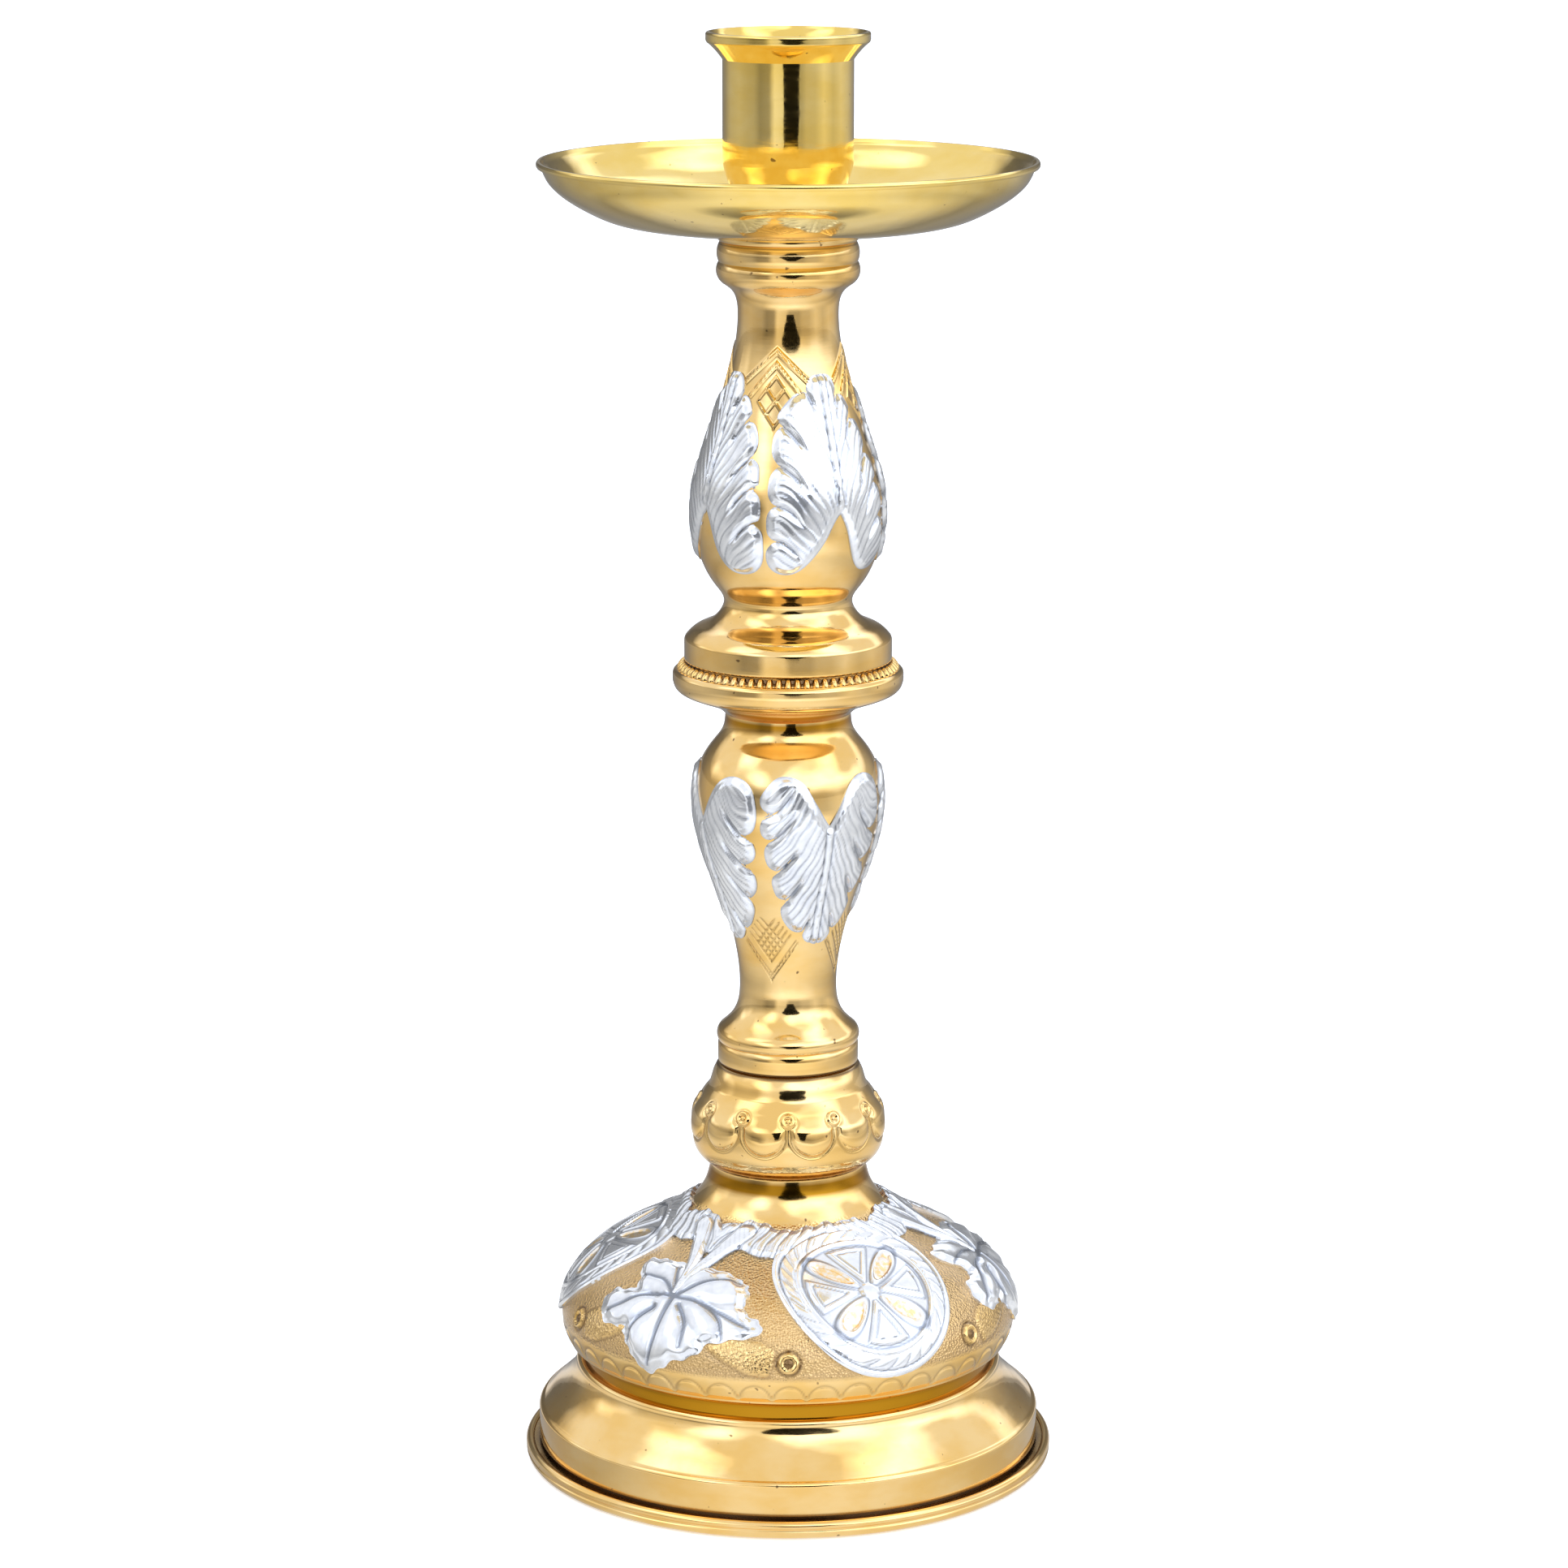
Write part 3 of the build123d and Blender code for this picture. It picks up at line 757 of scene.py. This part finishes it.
# ---------------- pan and socket
def drip_pan():
    edge, hole, flat, floor, lip_top = PAN_RADIUS, ROD + 0.3, 15.8, COLLAR_TOP + SHEET, 292.5
    bowl = spline([
        (flat, COLLAR_TOP), (24, 277.6), (32.5, 278.6), (39.3, 280), (43.8, 282), (47.3, 284),
        (50, 286), (52, 288.2), (53.3, 291)], (1, 0), (0.35, 1))
    inside = inset(bowl, SHEET)
    picked = inside[np.linspace(40, len(inside) - 14, 8).astype(int)]
    inside = spline([(flat, floor), *picked, (53, 291.4)])[::-1]
    turned("pan_dish", "drip_pan", LEMON_BRASS, (hole, COLLAR_TOP), [
        ((flat, COLLAR_TOP), 4),
        (bowl, 0.5),
        ((edge - 0.2, 291.2), 0.4),
        (((edge, 291.9), (edge - 0.3, lip_top)), 0.2),
        ((53.5, lip_top), 0.5),
        ((53, 291.4), 0.4),
        (inside, 0.5),
        ((hole, floor), 4),
        ((hole, COLLAR_TOP), 2)], 360, body="pan")


def candle_socket():
    tube, hole, foot, lip = CANDLE_BORE + 1.3, ROD + 0.05, 9, 17.8
    low, floor, top = 278.9, 288, 320
    bowl = spline([(8.2, 280.6), (10.4, 283.6), (12.9, 287.6), (tube, 292.2)])
    flare = spline([(tube, 314.1), (15.7, 316), (lip - 0.3, 317.7)], (0.7, 1), (1, 0.8))
    turned("socket_cup", "candle_socket", LEMON_BRASS, (hole, low), [
        ((foot, low), 3),
        ((foot, 279.9), 0.5),
        ((8.2, 280.6), 0.5),
        (bowl, 0.4),
        ((tube, 314.1), 3),
        (flare, 0.3),
        (((lip - 0.05, 318.1), (lip, 318.6)), 0.2),
        ((lip, 319.5), 0.5),
        (((lip - 0.15, 319.85), (lip - 0.5, top)), 0.12),
        ((lip - 0.9, top), 0.2),
        ((lip - 1.3, 319.1), 0.5),
        ((CANDLE_BORE, 314.6), 1),
        ((CANDLE_BORE, 292), 3),
        ((foot, floor), 1),
        ((hole, floor), 2),
        ((hole, low), 3)], body="socket")


# ---------------- silver relief
def outline(surface, runs):
    """Outline in mm by smooth runs of (azimuth, s), each on from the corner where the last one ended."""
    points, corner = [], []
    for run in runs:
        points.append(spline(surface.laid(corner + run), step=0.5)[:-1])
        corner = run[-1:]
    return np.concatenate(points + [surface.laid(corner)])


STEEP, PITCH = 3, 3.9  # slope of a leaf's lines at its midrib, and the spacing of its flutes in mm


def acanthus(surface, left, right, bend, ribbed, up):
    """Distance and height of a leaf with engraved lobes: lines leave the midrib steeply and bend outwards,
    and the lobes part along them at the outline's corners. right is drawn like a left half."""
    halves = outline(surface, left), outline(surface, right) * (-1, 1)
    edge = polygon(np.concatenate([halves[0], halves[1][::-1][1:-1]]))

    def along(across, v):
        return v + up * (STEEP * across - bend * across**2 / 2)

    notches = []
    for side, runs in ((-1, left), (1, right)):
        for run in runs[:-1]:
            u, v = surface.flat(*run[-1])
            notches.append((side, abs(u), along(abs(u), v)))

    def shape(a, s):
        return edge(*surface.flat(a, s))

    def raised(a, s, d):
        u, v = surface.flat(a, s)
        across = np.abs(u)
        w = along(across, v)
        slope = np.hypot(1, STEEP - bend * across)
        lobe = np.full_like(u, 9)
        for side, reach, start in notches:
            apart = np.abs(w - start) / slope + 4 * (1 - smooth(u * side, 0.25 * reach, 0.75 * reach))
            lobe = np.minimum(lobe, apart)
        w = w + 0.5 * np.sin(across * 0.7 + v * 0.23) + 0.3 * np.sin(v * 0.9 - across * 0.5)
        flute, half = np.abs((w / PITCH) % 1 - 0.5) * PITCH / slope, PITCH / 2 / slope
        number = np.floor(w / PITCH)
        weight = 0.62 + 0.38 * np.sin(number * 2.4) * np.sin(0.55 * across + number * 1.7)
        crown = smooth(np.minimum(-d, 0.35 + lobe), 0, 2)
        inner = smooth(-d, 0.9, 1.9)
        height = 0.25 + 0.62 * crown + 0.1 * bump(flute, half) * inner - 0.34 * groove(lobe, 0.8)
        between = 0.6 * smooth(across, 6.5, 8.5) * groove(flute, 0.3)
        cutting = (weight * groove(half - flute, 0.36) + between) * inner
        height -= 0.1 * cutting
        line_dark = 0.9 * cutting + 0.95 * groove(lobe, 0.5)
        rib = ribbed(v)
        height += rib * (0.25 * bump(u, 0.6) - 0.25 * groove(across - 0.85, 0.45))
        line_dark = line_dark * (1 - rib * (across < 0.6)) + rib * 0.7 * groove(across - 0.85, 0.3)
        line_dark = line_dark * smooth(-d, 0.1, 0.4) + 0.6 * groove(d + 0.05, 0.4)
        return height, np.clip(line_dark, 0, 1), 0 * height

    return shape, raised


LOWER_LEFT = [
    [(0, 23.2), (-8, 23.8), (-12, 25.2), (-11.5, 26.4)],
    [(-19.5, 26.4), (-28.5, 28.4), (-32.3, 31.2), (-30.5, 33.6), (-26.5, 34.7)],
    [(-33, 35.1), (-37.2, 37.6), (-37, 40.4), (-32.5, 42)],
    [(-38, 42.8), (-41.2, 45.4), (-40.4, 48), (-36, 49.7)],
    [(-41, 50.2), (-43.3, 52.6), (-40, 55), (-33.5, 55.9)],
    [(-40, 56.2), (-43.4, 58.2), (-40, 61), (-31, 63.8), (-22.4, 63.6), (-16, 62.2),
     (-11.5, 59.6), (-7, 56.8), (-3, 54.2), (0, 52.6)]]
LOWER_RIGHT = [
    [(0, 23.2), (-8, 23.2), (-15, 24.2), (-19, 26.2)],
    [(-26, 27.2), (-32, 29.6), (-34.5, 32.2), (-31.5, 34.3)],
    [(-37, 35.6), (-40.6, 38.6), (-38.5, 41.4), (-31.5, 43)],
    [(-38, 43.8), (-42.6, 46.2), (-41, 48.6), (-34, 50.2)],
    [(-41, 51.2), (-44.3, 54.2), (-43.5, 58), (-40.5, 61), (-33, 62.8), (-23.5, 62.9),
     (-16, 61.4), (-10, 58.6), (-4.5, 55.2), (0, 52.6)]]
UPPER_LEFT = [
    [(0, 66), (-7, 65.9), (-12, 65.3), (-15.5, 63.9), (-17, 62.4)],
    [(-25, 62), (-33.5, 60.2), (-39.5, 58), (-41, 56.3), (-37.5, 54.9)],
    [(-42, 53.4), (-44, 50.8), (-43, 48.2), (-38.5, 46.2)],
    [(-43, 44.6), (-45, 41.6), (-44.2, 39.2), (-40.5, 37.6)],
    [(-44.6, 36), (-45.6, 33.6), (-44.6, 31.4), (-40.5, 29.9)],
    [(-45.3, 28.2), (-46, 25.6), (-43.4, 23.6), (-36, 22.3), (-28, 22.7), (-20, 24.9),
     (-13, 28), (-7.5, 31.3), (-3, 34.2), (0, 35.5)]]
UPPER_RIGHT = [
    [(0, 66), (-6, 65.9), (-11, 65), (-13.8, 63.2), (-14.5, 61.4)],
    [(-20, 61), (-25.4, 58.9), (-26.6, 56.8), (-22.5, 55.4)],
    [(-29, 55.4), (-34, 53.4), (-35.2, 50.4), (-31.5, 47.8)],
    [(-36.4, 46.8), (-38.8, 43.6), (-37.6, 41.4), (-33.5, 41)],
    [(-38.8, 39.8), (-40.8, 36.6), (-39.6, 34.4), (-35.5, 33.6)],
    [(-40.8, 32.2), (-42.4, 28.6), (-41.6, 25.4), (-36.5, 22.9), (-28, 22), (-19.5, 22.4),
     (-12, 24.8), (-7.5, 28.6), (-3.5, 33), (0, 35.5)]]


def baluster_leaves():
    """Four leaves that hang on the lower baluster, and four that stand on the upper one."""
    shape, raised = acanthus(lower, LOWER_LEFT, LOWER_RIGHT, 0.185, lambda v: 1 - smooth(v, 50, 53), 1)
    for i in range(4):
        relief(f"lower_leaf_{i + 1}", lower, LOWER_LEAF + 90 * i, 94, (22, 65), shape, raised)
    shape, raised = acanthus(upper, UPPER_LEFT, UPPER_RIGHT, 0.2, lambda v: smooth(v, 36, 39), -1)
    for i in range(4):
        relief(f"upper_leaf_{i + 1}", upper, UPPER_LEAF + 90 * i, 94, (21, 67.5), shape, raised)


def medallions():
    """Round medallions: a bead, a wreath, a bead, and a splayed cross with petals between its arms."""
    rim, wreath, disc = 20.3, 19, 15
    side = [(2.6, 0.25), (12.6, 4.9), (13.3, 2.6)]
    arm = polygon([*side, (13.6, 0), *((x, -y) for x, y in side[::-1])])

    def local(a, s):
        u, v = dome.flat(a, s)
        return u, v - MEDALLION[1]

    def shape(a, s):
        return np.hypot(*local(a, s)) - rim

    def raised(a, s, d):
        u, v = local(a, s)
        rho, turn = np.hypot(u, v), np.degrees(np.arctan2(v, u))
        height = 0.45 + 0.5 * bump(rho - 19.65, 0.75)
        dark = 0.9 * groove(rho - wreath + 0.15, 0.42)
        band = smooth(rho, disc + 0.5, disc + 1.1) * (1 - smooth(rho, wreath - 0.6, wreath))
        twist = folded(turn + 4.5 * (rho - 17) + 2.5 * np.sin(np.radians(turn * 5)), 0, 360 / 26)
        height += band * (0.22 + 0.24 * bump(twist, 6.9))
        dark += band * 0.6 * groove(np.abs(twist) - 6.9, 1.6)
        height += 0.5 * bump(rho - disc - 0.1, 0.6)
        dark += 0.95 * groove(rho - disc + 0.75, 0.5)
        quarter = folded(turn, 0, 90)
        x, y = rho * np.cos(np.radians(quarter)), rho * np.sin(np.radians(quarter))
        plate = arm(x, y)
        height += 0.35 * smooth(-plate, -0.1, 0.5) - 0.22 * groove(plate + 1.35, 0.35)
        dark += 0.8 * groove(plate - 0.15, 0.42) + 0.85 * groove(plate + 1.35, 0.36)
        slant = folded(turn, 45, 90)
        x, y = rho * np.cos(np.radians(slant)), rho * np.sin(np.radians(slant))
        petal = (np.hypot((x - 8.5) / 5.3, y / (1.2 + 0.11 * x)) - 1) * 1.8
        height += 0.32 * groove(petal, 0.55) - 0.12 * smooth(-petal, 0.1, 0.7)
        dark += 0.9 * groove(petal - 0.45, 0.42)
        gilt = 0.9 * smooth(-petal, 0.05, 0.4)
        hub = smooth(2.6 - rho, 0, 1.2)
        return height + 0.3 * hub, np.clip(dark * (1 - hub), 0, 1), gilt * (1 - hub)

    for i in range(3):
        relief(f"medallion_{i + 1}", dome, MEDALLION[0] + DOME_REPEAT * i, 110, (4, 47), shape, raised)


LEAF_RUNS = [
    [(-11, 12.6), (-8, 9.6), (-4.5, 6.6), (-1, 4.8), (2.5, 5.2), (6, 7.4), (10, 8.8), (14, 10.9),
     (14.5, 12.4)],
    [(19, 13.6), (24, 14.4), (29, 15.6), (28.5, 18.2), (25.5, 20.4), (23.8, 22.6)],
    [(24, 25.6), (22.5, 28.4), (19.5, 30.4), (14, 31.4), (8, 32.4), (3, 31.8), (0, 30.2)],
    [(-4, 31.6), (-11, 31.8), (-17, 31.2), (-20.5, 30), (-20, 26.6), (-16.5, 24.4), (-14.5, 21.6)],
    [(-18.5, 20.6), (-22.5, 18.4), (-21.5, 14.8), (-17.5, 12.2), (-11, 12.6)]]
LEAF_HEART = (0.9, 22.2)
LEAF_VEINS = [
    [LEAF_HEART, (-2.2, 26.6), (-5.8, 30.5)],
    [LEAF_HEART, (-8.2, 21.2), (-14, 17.9), (-18.6, 14.3)],
    [LEAF_HEART, (0.7, 16.4), (0.6, 12.5), (0.1, 6.4)],
    [LEAF_HEART, (8, 22.2), (16.8, 20), (26, 16.6)],
    [LEAF_HEART, (6.5, 26.6), (13, 29.2), (20.3, 28.9)],
    [LEAF_HEART, (-6, 25.6), (-16, 25.4)],
    [(4, 20.4), (8.1, 15.6), (8.4, 11.3)],
    [(-3.6, 19), (-7, 14.6), (-8, 10)],
    [(11, 21.6), (17.5, 18), (19, 14)]]


def vine_leaves():
    """Wavy vine leaves with veins from the heart and folds out to the corners."""
    edge = polygon(outline(dome, LEAF_RUNS))
    heart = dome.laid([LEAF_HEART])[0]
    corners = dome.laid([run[-1] for run in LEAF_RUNS])
    veins = [stroke(spline(dome.laid(path), step=0.8), 0.3, 0.05) for path in LEAF_VEINS]
    folds = [stroke([heart + (corner - heart) * 0.4, corner]) for corner in corners]

    def shape(a, s):
        u, v = dome.flat(a, s)
        return edge(u, v) + 0.3 * np.sin(u * 1.15 + v * 0.85) + 0.14 * np.sin(u * 0.9 - v * 2.1)

    def raised(a, s, d):
        u, v = dome.flat(a, s)
        vein = np.minimum.reduce([f(u, v) for f in veins])
        fold = np.minimum.reduce([f(u, v) for f in folds])
        height = 0.35 + 0.8 * smooth(-d, 0, 2.6) - 0.4 * groove(fold, 2.2) + 0.2 * smooth(vein, 0.3, 2.5)
        height -= 0.3 * groove(np.maximum(vein, 0), 0.5)
        height += 0.1 * np.sin(u * 0.7 + 0.4 * v) * smooth(-d, 0.5, 2)
        dark = 0.7 * groove(d + 0.05, 0.45) + 0.9 * groove(np.maximum(vein, 0), 0.45)
        dark += 0.3 * groove(fold, 0.9) + 0.3 * groove(vein - 0.2, 1.5) * smooth(-d, 1, 3)
        return height, np.clip(dark * smooth(-d, 0, 0.4), 0, 1), 0 * height

    for i in range(3):
        relief(f"vine_leaf_{i + 1}", dome, STEM + DOME_REPEAT * i, 62, (3.5, 34), shape, raised)


VINE_TOP = [
    (-60, 47.2), (-52, 46.4), (-44, 46.8), (-36, 45.2), (-28, 46), (-18, 47.4), (-8, 46.6), (0, 45.4),
    (9, 46.6), (18, 47.2), (27, 46.2), (36, 45.2), (46, 46), (54, 46.4), (60, 47.2)]
VINE_BOTTOM = [
    (-60, 43.6), (-46, 42.4), (-36, 39.6), (-24, 37.8), (-14, 38.8), (-6, 38.4), (0, 36.5), (6, 38.2),
    (14, 38.8), (22, 37.8), (31, 37.2), (38, 39.4), (46, 42.6), (60, 43.6)]


def vine():
    """Wreath of vine shoots round the dome's shoulder, with a stalk down to each leaf."""
    stalks = []
    for side in (-1, 1):
        path = [(0, 23.5), (side * 1.5, 31), (side * 5, 36.5), (side * 13, 43.5)]
        stalks.append(stroke(spline(dome.laid(path), step=0.8), 1, 2.4))
    top, bottom = spline(VINE_TOP, step=0.5), spline(VINE_BOTTOM, step=0.5)

    def parts(azimuth, s):
        a = folded(azimuth, 0, DOME_REPEAT)
        u, v = dome.flat(a, s)
        high = np.interp(a, *top.T) + 0.35 * np.sin(np.radians(azimuth * 33))
        low = np.interp(a, *bottom.T) + 0.25 * np.sin(np.radians(azimuth * 27 + 40))
        band = np.maximum(v - high, low - v) * 0.9
        stalk = np.minimum.reduce([f(u, v) for f in stalks])
        return a, u, v, band, stalk

    def shape(a, s):
        _, _, _, band, stalk = parts(a, s)
        return np.minimum(band, stalk)

    def raised(azimuth, s, d):
        a, u, v, band, stalk = parts(azimuth, s)
        fan = np.abs(a) - 1.05 * (v - 38) + 0.9 * np.sin(v * 0.8) + 60
        width = 6
        ridge = np.abs((fan / width) % 1 - 0.5) * 2
        on_stalk = smooth(-stalk, -0.2, 0.3)
        height = 0.3 + 0.4 * smooth(-d, 0, 1.4) + 0.4 * np.sqrt(1 - ridge**2 * 0.98) * (1 - on_stalk)
        height += on_stalk * (0.3 + 0.35 * smooth(-stalk, 0, 1.2)) - 0.25 * groove(stalk - 0.2, 0.5)
        vein = np.abs(((v * 0.5 + u) / 1.1) % 1 - 0.5)
        dark = (0.85 * smooth(ridge, 0.8, 0.96) + 0.5 * groove(ridge - 0.42, 0.12)) * (1 - on_stalk)
        dark += 0.7 * groove(stalk - 0.15, 0.4)
        dark += 0.35 * smooth(vein, 0.38, 0.5) * on_stalk + 0.45 * groove(d + 0.05, 0.4)
        return height, np.clip(dark, 0, 1), 0 * height

    relief("vine_shoots", dome, STEM, 360, (22.5, 49), shape, raised)


# ---------------- hidden fasteners
def threaded(azimuth, s):
    """M6 thread, 1 mm pitch: triangular, cut into the rod."""
    share = np.abs((s - azimuth / 360) % 1 - 0.5) * 2
    return -0.55 * share, 0.3 * share, 0 * share, 0 * share


def tie_rod():
    low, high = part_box("tie_rod")
    bottom, top = low.z / MM, high.z / MM
    axis, bevel, thread = 0.02, 0.6, 14
    turned("threaded_rod", "tie_rod", STEEL, (axis, bottom), [
        ((ROD - bevel, bottom), 3),
        ((ROD, bottom + bevel), 1),
        ((ROD, bottom + thread), 0.125, threaded),
        ((ROD, top - thread), 40),
        ((ROD, top - bevel), 0.125, threaded),
        ((ROD - bevel, top), 1),
        ((axis, top), 3),
        ((axis, bottom), 300)], 48, 60)


def carried_over():
    """Fasteners and discs that stay as CAD nodes, with a material of their own."""
    for name in ("clamp_plate", "flat_washer", "spring_washer", "hex_nut", "neck_disc", "knop_disc",
                 "baluster_disc", "socket_washer"):
        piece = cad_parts[name]
        if not piece.material_slots:
            piece.data.materials.append(None)
        for place in piece.material_slots:
            place.link = "OBJECT"
            place.material = FIBRE if name == "socket_washer" else STEEL


# ---------------- stage, light and camera
# brightness round the object by azimuth: of the room's walls, and of the paper the object stands on
WALLS = [
    (-180, 0.3), (-163, 0.13), (-142, 0.2), (-120, 0.42), (-95, 0.48), (-62, 0.36), (-50, 0.2), (-33, 0.26),
    (-24, 0.85), (-5, 0.75), (3, 0.36), (24, 0.36), (32, 0.5), (48, 0.52), (65, 0.75), (85, 0.54),
    (105, 0.68), (125, 0.55), (150, 0.24), (168, 0.15), (180, 0.3)]
PAPER = [
    (-180, 0.15), (-140, 0.26), (-100, 0.46), (-60, 0.64), (-35, 1.1), (-15, 1.3), (15, 1.3), (40, 1.15),
    (70, 0.8), (105, 0.55), (140, 0.26), (180, 0.15)]
# brightness of the paper by distance in metres, and how bright a band close to the foot is
REACH = [(0.06, 0.66), (0.1, 0.72), (0.15, 0.78), (0.3, 0.72), (0.45, 1), (1, 0.7)]
NEARBY = [(0.09, 0), (0.13, 0.6), (0.2, 0.6), (0.36, 0)]


def ramp(tree, source, table):
    """Grey level from a table of (position, level) between 0 and 1."""
    made = tree.nodes.new("ShaderNodeValToRGB")
    tree.links.new(source, made.inputs["Fac"])
    stops = made.color_ramp.elements
    while len(stops) < len(table):
        stops.new(0.5)
    for stop, (position, level) in zip(stops, table):
        stop.position, stop.color = position, (level, level, level, 1)
    return made.outputs["Color"]


def direction(tree, place):
    """The azimuth of place, from 0 to 1 and 0.5 at the front, and its Y and Z."""
    split = node(tree, "SeparateXYZ", {"Vector": place})
    turn = calculate(tree, "ARCTAN2", split["X"], times(tree, split["Y"], -1))
    return ranged(tree, turn, 0, 1, -pi, pi), split["Y"], split["Z"]


def around(tree, turn, table):
    return ramp(tree, turn, [(azimuth / 360 + 0.5, level) for azimuth, level in table])


def daylight(tree, level):
    """Colour of a grey level of light: cool where it is brightest, so that polished metal bleaches there."""
    cool = times(tree, ranged(tree, level, 0, 1, 0.7, 1.3), level)
    green, blue = (calculate(tree, "MULTIPLY_ADD", cool, gain, level) for gain in (0.09, 0.32))
    return node(tree, "CombineColor", {"Red": level, "Green": green, "Blue": blue})[0]


def floor_paper():
    """Pale paper: white to the camera; reflections see it toned by direction and distance."""
    made, tree, shader = material("floor_paper", {
        "Roughness": 0.9, "Specular IOR Level": 0.1, "Emission Strength": 1})
    place = own_place(tree)
    away = node(tree, "VectorMath", {"Vector": place}, operation="LENGTH")["Value"]
    turn, _, _ = direction(tree, place)
    paper = times(tree, around(tree, turn, PAPER), ramp(tree, away, REACH))
    paper = mixed(tree, ramp(tree, away, NEARBY), paper, (1, 1, 1))
    glow = daylight(tree, mixed(tree, ranged(tree, away, 0, 1, 0.55, 0.85), paper, around(tree, turn, WALLS)))
    camera_ray = node(tree, "LightPath", {})["Is Camera Ray"]
    grain = ranged(tree, noise(tree, 5, 4), 0.92, 0.96, 0.3, 0.7)
    connect(tree, shader, {
        "Base Color": mixed(tree, camera_ray, (0.06, 0.06, 0.06), grain),
        "Emission Color": mixed(tree, camera_ray, glow, (0.35, 0.35, 0.35))})
    return made


def sheet(name, corners, finish):
    mesh = bpy.data.meshes.new(name)
    mesh.from_pydata(corners, [], [tuple(range(len(corners)))])
    mesh.materials.append(finish)
    made = placed(name, mesh)
    return made


# outline of whoever stands before the object, as (height in metres, left and right azimuth)
PHOTOGRAPHER = [
    (0.04, -3, 12), (0.13, -4, 15), (0.21, -8, 18), (0.29, -10, 22), (0.35, -14, 27), (0.41, -13, 26),
    (0.45, -7, 20), (0.47, -3, 12)]


def photographer():
    """Dark upright card in front of the object, which only reflections see."""
    distance, brightness = 1, 0.01
    finish = bpy.data.materials.new("photographer")
    finish.use_nodes = True
    tree = finish.node_tree
    tree.nodes.clear()
    glow = node(tree, "Emission", {"Color": (1, 1, 1, 1), "Strength": brightness})
    node(tree, "OutputMaterial", {"Surface": glow[0]})
    edge = [(z, left) for z, left, _ in PHOTOGRAPHER] + [(z, right) for z, _, right in PHOTOGRAPHER[::-1]]
    corners = [(distance * sin(radians(a)), -distance * cos(radians(a)), z) for z, a in edge]
    made = sheet("photographer", corners, finish)
    made.visible_camera = made.visible_diffuse = made.visible_shadow = False


def softbox(name, place, width, height, power):
    """Soft lamp aimed at the middle of the object, unseen in reflections."""
    light = bpy.data.lights.new(name, "AREA")
    light.shape, light.size, light.size_y, light.energy = "ELLIPSE", width, height, power
    made = placed(name, light)
    made.location = place
    made.rotation_euler = (Vector((0, 0, 0.15)) - Vector(place)).to_track_quat("-Z", "Y").to_euler()
    made.visible_glossy = False


def room():
    """World: toned walls round the object and a cloudy ceiling for reflections, white to the camera."""
    world = bpy.data.worlds.new("studio")
    bpy.context.scene.world = world
    world.use_nodes = True
    tree = world.node_tree
    tree.nodes.clear()
    place = node(tree, "TexCoord", {})["Generated"]
    turn, back, height = direction(tree, place)
    lift = calculate(tree, "SUBTRACT", height, ranged(tree, back, 0, 0.38, 0.4, 0.9))
    clouds = node(tree, "TexNoise", {"Vector": place, "Scale": 1.4, "Detail": 1})["Fac"]
    ceiling = ranged(tree, clouds, 0.95, 2.2, 0.42, 0.62)
    level = mixed(tree, ranged(tree, lift, 0, 1, 0.04, 0.32), around(tree, turn, WALLS), ceiling)
    camera_ray = node(tree, "LightPath", {})["Is Camera Ray"]
    seen = mixed(tree, camera_ray, daylight(tree, level), (1, 1, 1))
    sky = node(tree, "Background", {"Color": seen})[0]
    node(tree, "OutputWorld", {"Surface": sky})


def studio():
    reach, drop = 9, 0.0002  # half the floor's width, and its gap below the object, metres
    corners = [(-reach, -reach, 0), (reach, -reach, 0), (reach, reach, 0), (-reach, reach, 0)]
    sheet("floor", corners, floor_paper()).location.z = -drop
    photographer()
    softbox("overhead", (0.1, -0.4, 2), 1.6, 1.2, 5)
    softbox("key", (-1.2, -1.3, 1.6), 1.6, 1.1, 6)
    softbox("fill", (1, -1.3, 1.4), 1.2, 0.9, 3.5)
    softbox("back", (0.2, 1.8, 1.6), 1.8, 0.8, 4)
    room()


def camera():
    lens, downwards = 113.62, 12.5623  # mm and degrees
    data = bpy.data.cameras.new("camera")
    data.sensor_width, data.lens = 36, lens
    data.clip_start, data.clip_end = 0.05, 50
    made = placed("camera", data)
    made.location = (-0.0009, -1.0702, 0.3932)
    made.rotation_euler = (radians(90 - downwards), 0, 0)
    bpy.context.scene.camera = made


bpy.context.scene.view_settings.view_transform = "Standard"
base_rim()
base_foot()
base_dome()
knop()
lower_baluster()
middle_disc()
bead_ring()
upper_baluster()
top_collar()
drip_pan()
candle_socket()
baluster_leaves()
medallions()
vine_leaves()
vine()
tie_rod()
carried_over()
studio()
camera()
